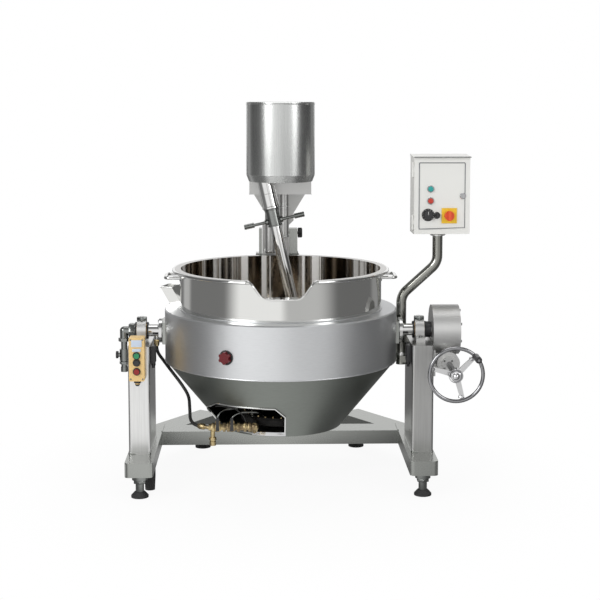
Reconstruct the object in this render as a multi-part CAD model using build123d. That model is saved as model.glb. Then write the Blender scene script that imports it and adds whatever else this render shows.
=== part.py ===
from build123d import *
import math
import os

os.makedirs("parts", exist_ok=True)

# Tilting jacketed kettle with a planetary mixer. Millimetres.
# Origin: on the floor, straight below the kettle's axis. +Z up, +X right, the pouring spout faces -Y.

# Fits
RUNNING = 0.05              # radial clearance of a shaft in its bore
WELD_DEPTH = 3.0            # how far a bar runs into the one that it is welded to
SEAT = 0.3                  # gap between parts that are welded or bolted where a curved face would touch
EDGE_CUT = 1.0              # how far a cutting shape runs past the face that it opens

# Base frame heights
BEAM_BOTTOM = 95.0
BEAM_HEIGHT = 59.0
BEAM_TOP = BEAM_BOTTOM + BEAM_HEIGHT
BEAM_WALL = 4.0
BEAM_ROUND = 18.0
COLUMN_HEIGHT = 440.0
COLUMN_TOP = BEAM_TOP + COLUMN_HEIGHT
AXIS_RISE = 42.0            # trunnion axis above the columns
AXIS_Z = COLUMN_TOP + AXIS_RISE

# Bowl
BOWL_RADIUS = 410.0         # inside
BOWL_WALL = 3.0
DISH_RADIUS = 640.0         # inside of the dished bottom
DISH_DROP = 303.0           # lowest point of the dish below the trunnion axis
DISH_CENTRE_Z = AXIS_Z - DISH_DROP + DISH_RADIUS
RIM_Z = AXIS_Z + 260.0
FLANGE_RADIUS = BOWL_RADIUS + 28.0
FLANGE_THICKNESS = 12.0
SPOUT_WIDTH = 268.0
SPOUT_FLOOR_WIDTH = 170.0
SPOUT_DEPTH = 67.0
SPOUT_REACH = BOWL_RADIUS + 76.0    # how far forward the lip ends
SPOUT_ROUND = 42.0
LIP_NARROWING = 0.86
LIP_RISE = 3.0
GRIP_RADIUS = 6.5
GRIP_REACH = BOWL_RADIUS + 60.0
GRIP_LENGTH = 130.0
GRIP_BEND = 18.0
GRIP_Z = RIM_Z - 34.0

# Jacket
JACKET_GAP = 66.0           # bowl's inside to the jacket's outside
JACKET_RADIUS = BOWL_RADIUS + JACKET_GAP
JACKET_WALL = 3.0
SHOULDER_Z = AXIS_Z + 97.0
BAND_BOTTOM = AXIS_Z - 113.0
CONE_LIP = 3.0              # how far the band stands proud of the cone
CONE_BOTTOM_Z = AXIS_Z - 387.0
CONE_BOTTOM_RADIUS = 249.0
AIR_HOLE_RADIUS = 60.0
AIR_HOLE_X = 110.0
PORT_LEFT = -300.0          # burner port in the cone
PORT_RIGHT = 13.0
PORT_TOP = CONE_BOTTOM_Z + 139.0
PORT_BOTTOM = CONE_BOTTOM_Z + 13.0
PORT_CORNER = 40.0

# Burner
BURNER_RADIUS = 150.0
BURNER_TUBE = 15.0          # half the ring's width
BURNER_SLOPE = 9.0
BURNER_Z = CONE_BOTTOM_Z + 35.0
BURNER_LEG_RADIUS = 6.0
MIXING_TUBE_RADIUS = 11.0
MIXER_X = -108.0
MANIFOLD_Y = -(CONE_BOTTOM_RADIUS + 51.0)
MANIFOLD_Z = CONE_BOTTOM_Z + 53.0
MANIFOLD_RADIUS = 13.0
MANIFOLD_LEFT = -288.0
COCK_PLACES = (MANIFOLD_LEFT + 36.0, MANIFOLD_LEFT + 92.0)
COCK_RADIUS = 19.0
COCK_NECK = 26.0
COCK_STEM_RADIUS = 4.0
JET_RADIUS = 8.0
JET_GAP = 40.0              # rail to the mixing tube's mouth
DRAIN_BOTTOM = MANIFOLD_Z - 72.0
FLAME_KNOB_X = -214.0
FLAME_KNOB_Z = AXIS_Z - 32.0
FLAME_STEM_RADIUS = 5.0
HOSE_RADIUS = 6.5

# Flue
FLUE_ANGLE = 163.0
FLUE_WIDTH = 92.0
FLUE_DEPTH = 50.0
FLUE_HEIGHT = 69.0
FLUE_LEAN = 42.0
FLUE_WALL = 2.0

# Rear yoke and the head's hinge
YOKE_THICKNESS = 12.0
YOKE_HEIGHT = 90.0
YOKE_HALF_ANGLE = 99.0
HINGE_Y = JACKET_RADIUS + 24.0
HINGE_Z = RIM_Z - 16.0
HINGE_PIN_RADIUS = 15.0
CHEEK_RIGHT = (44.0, 80.0)
CHEEK_LEFT = (-91.0, -78.0)
BRACKET_BACK = HINGE_Y + 52.0
BRACKET_PLATE = 14.0
LOCK_Z = HINGE_Z + 107.0
LOCK_STEM_RADIUS = 6.0
LOCK_GRIP_RADIUS = 18.5

# Mixer head
POST_WIDTH = 125.0
POST_FRONT = HINGE_Y - 48.0
POST_DEPTH = 80.0
POST_BOTTOM = HINGE_Z - 24.0
ARM_WIDTH = 258.0
ARM_TOP = DISH_CENTRE_Z + 279.0
ARM_BOTTOM = ARM_TOP - 63.0
ARM_FRONT = 102.0
ARM_WALL = 5.0
FLARE_START = ARM_BOTTOM - 109.0
LIFT_TUBES = ((-42.0, 22.0, 25.0), (22.0, 18.0, 96.0))   # X, radius, bottom above the hinge
SADDLE_THICKNESS = 10.0
SADDLE_HEIGHT = 130.0
CAN_RADIUS = 139.5
CAN_TOP = ARM_TOP + 322.0
CAN_CHAMFER = 10.0
CAN_FOOT = 26.0
CAN_WALL = 2.0
LID_THICKNESS = 6.0
CARRIER_RADIUS = 106.0
CARRIER_THICKNESS = 8.0
CARRIER_GAP = 4.0
DRIVE_RADIUS = 12.0
DRIVE_REACH = 36.0          # drive shaft's end inside the reducer
MOTOR_RADIUS = 76.0
REDUCER_SIDE = 150.0
REDUCER_HEIGHT = 66.0
MOUNT_PLATE = 10.0

# Inclined agitator. Its axis crosses the kettle's axis at the centre of the dished bottom.
TILT = 12.65
GEAR_NEAR = 308.0
GEAR_WIDTH = 18.0
GEAR_TEETH = 20
GEAR_NECK_RADIUS = 22.0
SPINDLE_RADIUS = 24.0
SLEEVE_RADIUS = 33.0
SLEEVE_BOTTOM = 173.0       # along the inclined axis, from the dish centre
TEE_SLEEVE_RADIUS = 28.5
TEE_SLEEVE_BOTTOM = 97.0
TEE_TRAVEL = 25.0
TEE_HEIGHT = 119.0
TEE_LENGTH = 252.0
TEE_BAR_RADIUS = 6.0
TEE_GRIP_RADIUS = 10.0
TEE_GRIP_LENGTH = 42.0
SCRAPER_GAP = 3.0
SCRAPER_THICKNESS = 10.0
SCRAPER_HEIGHT = 34.0
SCRAPER_COUNT = 5
SCRAPER_HALF_ANGLE = 23.2
ANCHOR_HALF_ANGLE = 24.0
ANCHOR_BAR = 16.0
STAY_TOP = 330.0

# Columns and base frame in plan
COLUMN_X = JACKET_RADIUS + 98.0
COLUMN_WIDTH = 88.0
COLUMN_DEPTH = 290.0
COLUMN_WALL = 4.0
COLUMN_ROUND = 10.0
COLUMN_CAP = 8.0
FOOT_BEAM_WIDTH = 112.0
FOOT_BEAM_X = COLUMN_X - 7.0        # centre line of each foot beam
FOOT_BEAM_FRONT = -285.0
CROSS_FRONT = 218.0
CROSS_WIDTH = 120.0
LEG_ANGLE = 34.2            # rear legs turn in by this much from straight back
LEG_WIDTH = 118.0
LEG_LENGTH = 265.0
LEG_ROOT_X = COLUMN_X - 157.0       # where a leg's inner edge leaves the cross beam
FRONT_FOOT = (FOOT_BEAM_X + 1.0, FOOT_BEAM_FRONT + 65.0)
REAR_FOOT = (COLUMN_X - 224.0, CROSS_FRONT + 327.0)
PAD_RADIUS = 35.0
PAD_HEIGHT = 22.0
SCREW_RADIUS = 17.0
FOOT_COLLAR_RADIUS = 31.0
FOOT_COLLAR_HEIGHT = 24.0
BUFFER_RADIUS = 23.0
BUFFER_PLACE = (-(FOOT_BEAM_X - 31.0), FOOT_BEAM_FRONT + 168.0)

# Trunnions and their bearings
SHAFT_RADIUS = 25.0
SHAFT_BORE = 8.0
BLOCK_THICKNESS = 37.0
BLOCK_RADIUS = 45.0
BLOCK_FOOT_LENGTH = 150.0
BLOCK_FOOT_HEIGHT = 18.0
BLOCK_SHIFT = 2.0           # block's middle inwards of the column's
GREASE_RADIUS = 7.0
BUSH_WALL = 8.0
BUSH_LIP = 2.0
TRUNNION_FLANGE_RADIUS = 50.0
TRUNNION_FLANGE_THICKNESS = 12.0
LEFT_SHAFT_END = -(COLUMN_X + 26.0)

# Worm gear
MODULE = 4.0
WHEEL_TEETH = 45
WHEEL_WIDTH = 34.0
WORM_PITCH_RADIUS = 34.0
WORM_LENGTH = 86.0
WORM_SHAFT_RADIUS = 12.0
TOOTH_PLAY = 0.9            # how much thinner than half a pitch each tooth is
CASE_LEFT = COLUMN_X + COLUMN_WIDTH / 2 + 4.0
CASE_RIGHT = CASE_LEFT + 112.0
CASE_WALL = 6.0
CASE_COVER = 8.0
CASE_CLEARANCE = 3.0        # gear tips to the case's inside
WORM_CASE_HALF = 105.0
WORM_BOSS_RADIUS = 30.0
WORM_BOSS_LENGTH = 24.0

# Handwheel
WHEEL_PLANE_Y = -(COLUMN_DEPTH / 2 + 185.0)
HANDWHEEL_RADIUS = 105.0    # centre line of the rim
RIM_TUBE_RADIUS = 7.5
HUB_RADIUS = 25.0
HUB_LENGTH = 44.0
SPOKE_WIDTH = 22.0
SPOKE_THICKNESS = 9.0
SPOKE_TAPER = 0.72
SPOKE_ANGLES = (45.0, 165.0, 285.0)
CRANK_LENGTH = 82.0
CRANK_RADIUS = 13.0
CRANK_PIN_RADIUS = 5.0

# Control cabinet
CABINET_LEFT = COLUMN_X - 27.0
CABINET_WIDTH = 232.0
CABINET_BOTTOM = AXIS_Z + 395.0
CABINET_HEIGHT = 316.0
CABINET_DEPTH = 125.0
CABINET_WALL = 2.0
CABINET_LIP = 14.0          # flange round the front opening
DOOR_THICKNESS = 15.0
DOOR_GAP = 1.0
DOOR_SKIN = 5.0
PANEL_EDGE = 19.0           # border round the recessed panel
PANEL_DEPTH = 1.5
HOOD_OVERHANG = 14.0
HINGE_KNUCKLE = 5.0
KNUCKLE_HALF = 30.0
KNUCKLE_SPLIT = 10.0
HINGE_WIRE = 2.0
POST_TUBE_RADIUS = 21.0
POST_TUBE_WALL = 2.5
POST_TUBE_Y = 95.0
POST_TUBE_TOP_X = CABINET_LEFT + 111.0
POST_TUBE_FOOT_Z = AXIS_Z - 164.0
POST_TUBE_BENDS = (AXIS_Z + 129.0, AXIS_Z + 266.0)
POST_TUBE_BEND_RADIUS = 70.0
POST_CLAMPS = (AXIS_Z - 139.0, AXIS_Z - 51.0)
POST_CLAMP_HALF = 14.0
POST_FLANGE_RADIUS = 38.0
POST_FLANGE_THICKNESS = 8.0
LAMPS = ((CABINET_LEFT + 69.0, CABINET_BOTTOM + 187.0), (CABINET_LEFT + 69.0, CABINET_BOTTOM + 138.0))
LAMP_RADIUS = 11.0
LAMP_STEM = 8.0
SPEED_KNOB = (CABINET_LEFT + 59.0, CABINET_BOTTOM + 80.0)
SPEED_KNOB_RADIUS = 17.0
SELECTOR = (CABINET_LEFT + 95.5, CABINET_BOTTOM + 78.0)
SELECTOR_RADIUS = 10.0
MAIN_SWITCH = (CABINET_LEFT + 146.0, CABINET_BOTTOM + 77.0)
SWITCH_RADIUS = 20.0
SWITCH_PLATE = 63.0
PLATE_FRONT = -2.5
DOOR_LOCK = (CABINET_LEFT + CABINET_WIDTH - 30.0, CABINET_BOTTOM + CABINET_HEIGHT / 2)
STEM_RADIUS = 4.0

# Push-button station and gas inlet on the left
STATION_X = -(COLUMN_X + 3.0)
STATION_WIDTH = 62.0
STATION_BOTTOM = COLUMN_TOP - 129.0
STATION_HEIGHT = 176.0
STATION_DEPTH = 55.0
STATION_JOINT = 22.0        # front to the line where its cover meets its body
STATION_GROOVE = 1.0
BUTTON_HEIGHTS = (STATION_BOTTOM + 104.0, STATION_BOTTOM + 76.0, STATION_BOTTOM + 40.0)
BUTTON_RADIUS = 11.0
BUTTON_STEM = 8.0
BUTTON_TRAVEL = 4.0
PIPE_X = -(COLUMN_X + 72.0)
PIPE_RADIUS = 13.0
PIPE_BORE = 9.0
PIPE_BOTTOM = AXIS_Z - 171.0
PIPE_END_RADIUS = 15.0
PIPE_END_LENGTH = 20.0
FITTING_RADIUS = 17.0
VALVE_Z = AXIS_Z - 101.0


def block(xs, ys, zs):
    """A box between two values on each axis."""
    size = [high - low for low, high in (xs, ys, zs)]
    middle = [(high + low) / 2 for low, high in (xs, ys, zs)]
    return Pos(*middle) * Box(*size)


def rod(start, end, radius):
    """A round bar between two points."""
    first, last = Vector(start), Vector(end)
    along = last - first
    solid = Cylinder(radius, along.length, align=(Align.CENTER, Align.CENTER, Align.MIN))
    return Plane(origin=first, z_dir=along) * solid


def turned(outline):
    """A revolved body about the Z axis from (radius, height) points."""
    return revolve(Plane.XZ * make_face(Polyline(*outline, close=True)), Axis.Z)


def prism(points, low, high):
    """A plan outline carried from one height to another."""
    face = make_face(Polyline(*points, close=True))
    return Pos(0, 0, low) * extrude(face, amount=high - low)


def side_plate(points, left, right):
    """A (y, z) outline carried along X."""
    face = make_face(Polyline(*points, close=True))
    return Pos(left, 0, 0) * extrude(Plane.YZ * face, amount=right - left)


def front_plate(points, front, back):
    """An (x, z) outline carried along Y."""
    face = make_face(Polyline(*points, close=True))
    return Pos(0, back, 0) * extrude(Plane.XZ * face, amount=back - front)


def mirrored(shape):
    return mirror(shape, about=Plane.YZ)


def round_ring(radius, tube):
    """A ring of round bar about the Z axis."""
    return revolve(Plane.XZ * (Pos(radius, 0) * Circle(tube)), Axis.Z)


def group(*shapes):
    solids = [solid for shape in shapes for solid in shape.solids()]
    return Compound(children=solids)


def bent_tube(points, radii, outer, inner=0.0):
    """A tube of straight runs joined by tangent arcs."""
    path = FilletPolyline(*points, radius=radii)
    section = Circle(outer)
    if inner:
        section = section - Circle(inner)
    return sweep(Plane(origin=path @ 0, z_dir=path % 0) * section, path=path)


# ---------------------------------------------------------------- base frame
CROSS_REAR = CROSS_FRONT + CROSS_WIDTH
FOOT_INNER = FOOT_BEAM_X - FOOT_BEAM_WIDTH / 2
FOOT_OUTER = FOOT_BEAM_X + FOOT_BEAM_WIDTH / 2


def side_frame_outline(inset):
    """The foot beam and its rear leg in plan, with every wall moved in by inset."""
    turn = math.radians(LEG_ANGLE)
    along = Vector(-math.sin(turn), math.cos(turn))
    across = Vector(math.cos(turn), math.sin(turn))
    root = Vector(LEG_ROOT_X, CROSS_REAR)
    outer_root = root + across * LEG_WIDTH
    to_side = (outer_root.X - FOOT_OUTER) / math.sin(turn)
    corner = outer_root + along * to_side
    ends = [root + along * LEG_LENGTH, outer_root + along * LEG_LENGTH]
    points = [
        (FOOT_INNER, FOOT_BEAM_FRONT),
        (FOOT_OUTER, FOOT_BEAM_FRONT),
        (corner.X, corner.Y),
        (ends[1].X, ends[1].Y),
        (ends[0].X, ends[0].Y),
        (root.X, root.Y),
        (FOOT_INNER, CROSS_REAR),
    ]
    face = make_face(Polyline(*points, close=True))
    return offset(face, amount=-inset, kind=Kind.INTERSECTION) if inset else face


def right_side_frame():
    shell = extrude(Pos(0, 0, BEAM_BOTTOM) * side_frame_outline(0), amount=BEAM_HEIGHT)
    hollow = extrude(
        Pos(0, 0, BEAM_BOTTOM + BEAM_WALL) * side_frame_outline(BEAM_WALL),
        amount=BEAM_HEIGHT - 2 * BEAM_WALL,
    )
    window = block(
        (FOOT_INNER - BEAM_WALL, FOOT_INNER + 2 * BEAM_WALL),
        (CROSS_FRONT + 2 * BEAM_WALL, CROSS_REAR - 2 * BEAM_WALL),
        (BEAM_BOTTOM + 2 * BEAM_WALL, BEAM_TOP - 2 * BEAM_WALL),
    )
    beam = shell - hollow - window
    front_corners = beam.edges().filter_by(Axis.Z).group_by(Axis.Y)[0]
    return fillet(front_corners, BEAM_ROUND)


def cross_beam():
    outer = block((-FOOT_INNER, FOOT_INNER), (CROSS_FRONT, CROSS_REAR), (BEAM_BOTTOM, BEAM_TOP))
    inner = block(
        (-FOOT_INNER, FOOT_INNER),
        (CROSS_FRONT + BEAM_WALL, CROSS_REAR - BEAM_WALL),
        (BEAM_BOTTOM + BEAM_WALL, BEAM_TOP - BEAM_WALL),
    )
    return outer - inner


def foot_places():
    for x, y in (FRONT_FOOT, REAR_FOOT):
        yield x, y
        yield -x, y


def foot_pads():
    pad = turned([
        (0, 0),
        (PAD_RADIUS, 0),
        (PAD_RADIUS, PAD_HEIGHT * 0.35),
        (PAD_RADIUS * 0.62, PAD_HEIGHT),
        (0, PAD_HEIGHT),
    ])
    return group(*[Pos(x, y, 0) * pad for x, y in foot_places()])


def foot_screws():
    collar = BEAM_BOTTOM - FOOT_COLLAR_HEIGHT
    screw = turned([
        (0, PAD_HEIGHT),
        (SCREW_RADIUS, PAD_HEIGHT),
        (SCREW_RADIUS, collar),
        (FOOT_COLLAR_RADIUS, collar),
        (FOOT_COLLAR_RADIUS, BEAM_BOTTOM),
        (0, BEAM_BOTTOM),
    ])
    return group(*[Pos(x, y, 0) * screw for x, y in foot_places()])


def rubber_buffer():
    """Black rubber stop under the left foot beam."""
    x, y = BUFFER_PLACE
    return Pos(x, y, 0) * turned([
        (0, 0),
        (BUFFER_RADIUS - 3, 0),
        (BUFFER_RADIUS, BEAM_BOTTOM * 0.6),
        (BUFFER_RADIUS, BEAM_BOTTOM),
        (0, BEAM_BOTTOM),
    ])


def right_column():
    plan = RectangleRounded(COLUMN_WIDTH, COLUMN_DEPTH, COLUMN_ROUND)
    hollow_plan = Rectangle(COLUMN_WIDTH - 2 * COLUMN_WALL, COLUMN_DEPTH - 2 * COLUMN_WALL)
    height = COLUMN_TOP - BEAM_TOP
    outer = Pos(COLUMN_X, 0, BEAM_TOP) * extrude(plan, amount=height)
    hollow = Pos(COLUMN_X, 0, BEAM_TOP) * extrude(hollow_plan, amount=height - COLUMN_CAP)
    return outer - hollow


# ---------------------------------------------------------------- trunnions
BUSH_RADIUS = SHAFT_RADIUS + RUNNING + BUSH_WALL


def right_bearing_block():
    left = COLUMN_X - BLOCK_SHIFT - BLOCK_THICKNESS / 2
    right = left + BLOCK_THICKNESS
    half = BLOCK_FOOT_LENGTH / 2
    body = side_plate(
        [
            (-half, COLUMN_TOP),
            (half, COLUMN_TOP),
            (half, COLUMN_TOP + BLOCK_FOOT_HEIGHT),
            (BLOCK_RADIUS, COLUMN_TOP + BLOCK_FOOT_HEIGHT + 6),
            (BLOCK_RADIUS, AXIS_Z),
            (-BLOCK_RADIUS, AXIS_Z),
            (-BLOCK_RADIUS, COLUMN_TOP + BLOCK_FOOT_HEIGHT + 6),
            (-half, COLUMN_TOP + BLOCK_FOOT_HEIGHT),
        ],
        left,
        right,
    )
    body += rod((left, 0, AXIS_Z), (right, 0, AXIS_Z), BLOCK_RADIUS)
    middle = (left + right) / 2
    top = AXIS_Z + BLOCK_RADIUS
    body += rod((middle, 0, top - 4), (middle, 0, top + 8), GREASE_RADIUS)
    bore = rod((left - 1, 0, AXIS_Z), (right + 1, 0, AXIS_Z), BUSH_RADIUS + RUNNING)
    below = block((left - 1, right + 1), (-half, half), (COLUMN_TOP - BLOCK_RADIUS, COLUMN_TOP))
    return body - bore - below


def bearing_bushes():
    left = COLUMN_X - BLOCK_SHIFT - BLOCK_THICKNESS / 2
    right = left + BLOCK_THICKNESS
    bush = rod((left - BUSH_LIP, 0, AXIS_Z), (right + BUSH_LIP, 0, AXIS_Z), BUSH_RADIUS)
    bush -= rod((left - 2 * BUSH_LIP, 0, AXIS_Z), (right + 2 * BUSH_LIP, 0, AXIS_Z), SHAFT_RADIUS + RUNNING)
    return group(bush, mirrored(bush))


YOKE_INNER = JACKET_RADIUS + SEAT
YOKE_OUTER = YOKE_INNER + YOKE_THICKNESS
WHEEL_X = (CASE_LEFT + CASE_RIGHT) / 2 + 5
RIGHT_SHAFT_END = CASE_RIGHT - CASE_COVER - 3


def trunnion(inner_end, outer_end):
    """Shaft through the yoke, with a flange that is bolted to the yoke's outside."""
    sign = 1 if outer_end > 0 else -1
    shaft = rod((inner_end, 0, AXIS_Z), (outer_end, 0, AXIS_Z), SHAFT_RADIUS)
    flange_start = sign * (YOKE_OUTER + SEAT)
    flange_end = flange_start + sign * TRUNNION_FLANGE_THICKNESS
    flange = rod((flange_start, 0, AXIS_Z), (flange_end, 0, AXIS_Z), TRUNNION_FLANGE_RADIUS)
    return shaft + flange


def right_trunnion():
    return trunnion(JACKET_RADIUS + SEAT, RIGHT_SHAFT_END)


NIPPLE_X = -(YOKE_OUTER + TRUNNION_FLANGE_THICKNESS + 12)
NIPPLE_END = AXIS_Z - SHAFT_RADIUS - 14


def left_trunnion():
    """The left shaft is hollow: it leads the gas from the rotary union to the hose nipple."""
    shaft = trunnion(-(JACKET_RADIUS + SEAT), LEFT_SHAFT_END)
    shaft += rod((NIPPLE_X, 0, AXIS_Z), (NIPPLE_X, 0, NIPPLE_END), 8.0)
    shaft -= rod((LEFT_SHAFT_END - 1, 0, AXIS_Z), (NIPPLE_X + SHAFT_BORE, 0, AXIS_Z), SHAFT_BORE)
    shaft -= rod((NIPPLE_X, 0, AXIS_Z), (NIPPLE_X, 0, NIPPLE_END - 1), 4.0)
    return shaft


# ---------------------------------------------------------------- worm gear
WHEEL_PITCH_RADIUS = MODULE * WHEEL_TEETH / 2
WORM_Z = AXIS_Z - WHEEL_PITCH_RADIUS - WORM_PITCH_RADIUS
ADDENDUM = MODULE * 0.9
DEDENDUM = MODULE * 1.2
LEAD = math.pi * MODULE
PRESSURE = math.tan(math.radians(20))
TOOTH_PITCH_WIDTH = LEAD / 2 - TOOTH_PLAY


def tooth_width(height):
    """Width of a straight-sided tooth at a height above its pitch line."""
    return TOOTH_PITCH_WIDTH - 2 * PRESSURE * height


def wheel_section(turn):
    points = []
    for tooth in range(WHEEL_TEETH):
        middle = turn - math.pi / 2 + tooth * 2 * math.pi / WHEEL_TEETH
        for height, side in ((-DEDENDUM, -1), (ADDENDUM, -1), (ADDENDUM, 1), (-DEDENDUM, 1)):
            radius = WHEEL_PITCH_RADIUS + height
            angle = middle + side * tooth_width(height) / 2 / radius
            points.append((radius * math.cos(angle), radius * math.sin(angle)))
    return make_face(Polyline(*points, close=True))


def worm_wheel():
    lead_slope = LEAD / (2 * math.pi * WORM_PITCH_RADIUS)
    twist = WHEEL_WIDTH / 2 * lead_slope / WHEEL_PITCH_RADIUS
    near = Plane(origin=(WHEEL_X - WHEEL_WIDTH / 2, 0, AXIS_Z), x_dir=(0, 1, 0), z_dir=(1, 0, 0))
    far = Plane(origin=(WHEEL_X + WHEEL_WIDTH / 2, 0, AXIS_Z), x_dir=(0, 1, 0), z_dir=(1, 0, 0))
    gear = loft([near * wheel_section(-twist), far * wheel_section(twist)], ruled=True)
    hub = rod((WHEEL_X - WHEEL_WIDTH, 0, AXIS_Z), (WHEEL_X + WHEEL_WIDTH / 2, 0, AXIS_Z), 40.0)
    bore = rod((WHEEL_X - 60, 0, AXIS_Z), (WHEEL_X + 60, 0, AXIS_Z), SHAFT_RADIUS + RUNNING)
    return gear + hub - bore


def worm_thread():
    """One right-hand thread about the local Z axis."""
    helix = Helix(pitch=LEAD, height=WORM_LENGTH, radius=WORM_PITCH_RADIUS)
    root = WORM_PITCH_RADIUS - DEDENDUM - 0.5
    points = [
        (-DEDENDUM - 0.5, -tooth_width(-DEDENDUM) / 2),
        (ADDENDUM, -tooth_width(ADDENDUM) / 2),
        (ADDENDUM, tooth_width(ADDENDUM) / 2),
        (-DEDENDUM - 0.5, tooth_width(-DEDENDUM) / 2),
    ]
    start = Plane(origin=helix @ 0, x_dir=(1, 0, 0), z_dir=helix % 0)
    section = start * make_face(Polyline(*points, close=True))
    thread = sweep(section, path=helix, is_frenet=True)
    core = Cylinder(root + 0.6, WORM_LENGTH + 12, align=(Align.CENTER, Align.CENTER, Align.MIN))
    return thread + Pos(0, 0, -6) * core


def worm():
    """The worm, cut on the shaft that carries the handwheel."""
    # The helix runs from -Y to +Y. Its start is turned so that a gap faces the wheel's lowest tooth.
    turns_to_middle = WORM_LENGTH / 2 / LEAD
    phase = 360 * (0.5 - turns_to_middle)
    frame = Plane(origin=(WHEEL_X, -WORM_LENGTH / 2, WORM_Z), x_dir=(0, 0, 1), z_dir=(0, 1, 0))
    thread = frame * (Rot(0, 0, phase) * worm_thread())
    rear = WORM_CASE_HALF + WORM_BOSS_LENGTH / 2
    front = WHEEL_PLANE_Y - HUB_LENGTH / 2 - 6
    return thread + rod((WHEEL_X, front, WORM_Z), (WHEEL_X, rear, WORM_Z), WORM_SHAFT_RADIUS)


CASE_RADIUS = WHEEL_PITCH_RADIUS + ADDENDUM + CASE_CLEARANCE + CASE_WALL
WORM_CASE_RADIUS = WORM_PITCH_RADIUS + ADDENDUM + CASE_CLEARANCE + CASE_WALL
COLUMN_OUTER = COLUMN_X + COLUMN_WIDTH / 2


def gear_case():
    cover_face = CASE_RIGHT - CASE_COVER
    drum = rod((CASE_LEFT, 0, AXIS_Z), (cover_face, 0, AXIS_Z), CASE_RADIUS)
    drum += rod((WHEEL_X, -WORM_CASE_HALF, WORM_Z), (WHEEL_X, WORM_CASE_HALF, WORM_Z), WORM_CASE_RADIUS)
    pad_half = WORM_CASE_RADIUS + 22
    foot = block((COLUMN_OUTER, CASE_LEFT + 12), (-pad_half, pad_half), (WORM_Z - 60, COLUMN_TOP - 4))
    web = block((CASE_LEFT, WHEEL_X), (-WORM_CASE_RADIUS, WORM_CASE_RADIUS), (WORM_Z - 30, WORM_Z + 60))
    boss_end = WORM_CASE_HALF + WORM_BOSS_LENGTH
    bosses = rod((WHEEL_X, -boss_end, WORM_Z), (WHEEL_X, boss_end, WORM_Z), WORM_BOSS_RADIUS)
    inside = CASE_RADIUS - CASE_WALL
    room = rod((CASE_LEFT + CASE_WALL, 0, AXIS_Z), (cover_face + 1, 0, AXIS_Z), inside)
    worm_inside = WORM_CASE_RADIUS - CASE_WALL
    worm_room = rod(
        (WHEEL_X, -WORM_CASE_HALF + CASE_WALL, WORM_Z),
        (WHEEL_X, WORM_CASE_HALF - CASE_WALL, WORM_Z),
        worm_inside,
    )
    shaft_hole = rod((COLUMN_OUTER, 0, AXIS_Z), (WHEEL_X, 0, AXIS_Z), SHAFT_RADIUS + 1)
    worm_bore = rod(
        (WHEEL_X, -boss_end - 1, WORM_Z),
        (WHEEL_X, WORM_CASE_HALF + WORM_BOSS_LENGTH / 2 + 1, WORM_Z),
        WORM_SHAFT_RADIUS + RUNNING,
    )
    return drum + foot + web + bosses - room - worm_room - shaft_hole - worm_bore


def gear_case_cover():
    cover_face = CASE_RIGHT - CASE_COVER
    cover = rod((cover_face, 0, AXIS_Z), (CASE_RIGHT, 0, AXIS_Z), CASE_RADIUS)
    dish = rod((CASE_RIGHT - 3, 0, AXIS_Z), (CASE_RIGHT + 1, 0, AXIS_Z), CASE_RADIUS - 22)
    return cover - dish


# ---------------------------------------------------------------- handwheel
def wheel_point(angle, radius, y=WHEEL_PLANE_Y):
    turn = math.radians(angle)
    return (WHEEL_X + radius * math.cos(turn), y, WORM_Z + radius * math.sin(turn))


def spokes():
    """Three flat spokes that taper from the hub to the rim."""
    inner = HUB_RADIUS - WELD_DEPTH
    outer = HANDWHEEL_RADIUS - RIM_TUBE_RADIUS + WELD_DEPTH
    root = SPOKE_WIDTH / 2
    tip = root * SPOKE_TAPER
    bars = []
    for angle in SPOKE_ANGLES:
        bar = make_face(Polyline((inner, -root), (outer, -tip), (outer, tip), (inner, root), close=True))
        bar = extrude(bar, amount=SPOKE_THICKNESS / 2, both=True)
        bars.append(Plane(
            origin=(WHEEL_X, WHEEL_PLANE_Y, WORM_Z),
            x_dir=(math.cos(math.radians(angle)), 0, math.sin(math.radians(angle))),
            z_dir=(0, -1, 0),
        ) * bar)
    return bars


def handwheel():
    rim_plane = Plane(origin=(WHEEL_X, WHEEL_PLANE_Y, WORM_Z), z_dir=(0, 1, 0))
    wheel = rim_plane * round_ring(HANDWHEEL_RADIUS, RIM_TUBE_RADIUS)
    back = WHEEL_PLANE_Y + HUB_LENGTH / 2
    front = WHEEL_PLANE_Y - HUB_LENGTH / 2
    wheel += rod((WHEEL_X, back, WORM_Z), (WHEEL_X, front, WORM_Z), HUB_RADIUS)
    wheel += spokes()
    pin_front = WHEEL_PLANE_Y - RIM_TUBE_RADIUS - CRANK_LENGTH
    pin_back = WHEEL_PLANE_Y - RIM_TUBE_RADIUS + WELD_DEPTH
    x, _, z = wheel_point(SPOKE_ANGLES[0], HANDWHEEL_RADIUS)
    wheel += rod((x, pin_back, z), (x, pin_front, z), CRANK_PIN_RADIUS)
    bore = WORM_SHAFT_RADIUS + RUNNING
    return wheel - rod((WHEEL_X, back + 1, WORM_Z), (WHEEL_X, front - 1, WORM_Z), bore)


def crank_handle():
    x, y, z = wheel_point(SPOKE_ANGLES[0], HANDWHEEL_RADIUS)
    back = y - RIM_TUBE_RADIUS - 1
    front = back - CRANK_LENGTH + 4
    grip = rod((x, back, z), (x, front, z), CRANK_RADIUS)
    grip = fillet(grip.edges().filter_by(GeomType.CIRCLE), 4.0)
    return grip - rod((x, back + 1, z), (x, front - 1, z), CRANK_PIN_RADIUS + RUNNING)


# ---------------------------------------------------------------- bowl
def bowl_body(radius, dish, top):
    """Solid of revolution with a dished bottom."""
    knee = DISH_CENTRE_Z - math.sqrt(dish ** 2 - radius ** 2)
    bottom = DISH_CENTRE_Z - dish
    half = math.asin(radius / dish) / 2
    middle = (dish * math.sin(half), DISH_CENTRE_Z - dish * math.cos(half))
    outline = ThreePointArc((0, bottom), middle, (radius, knee))
    outline += Polyline((radius, knee), (radius, top), (0, top), (0, bottom))
    return revolve(Plane.XZ * make_face(outline), Axis.Z)


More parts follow.
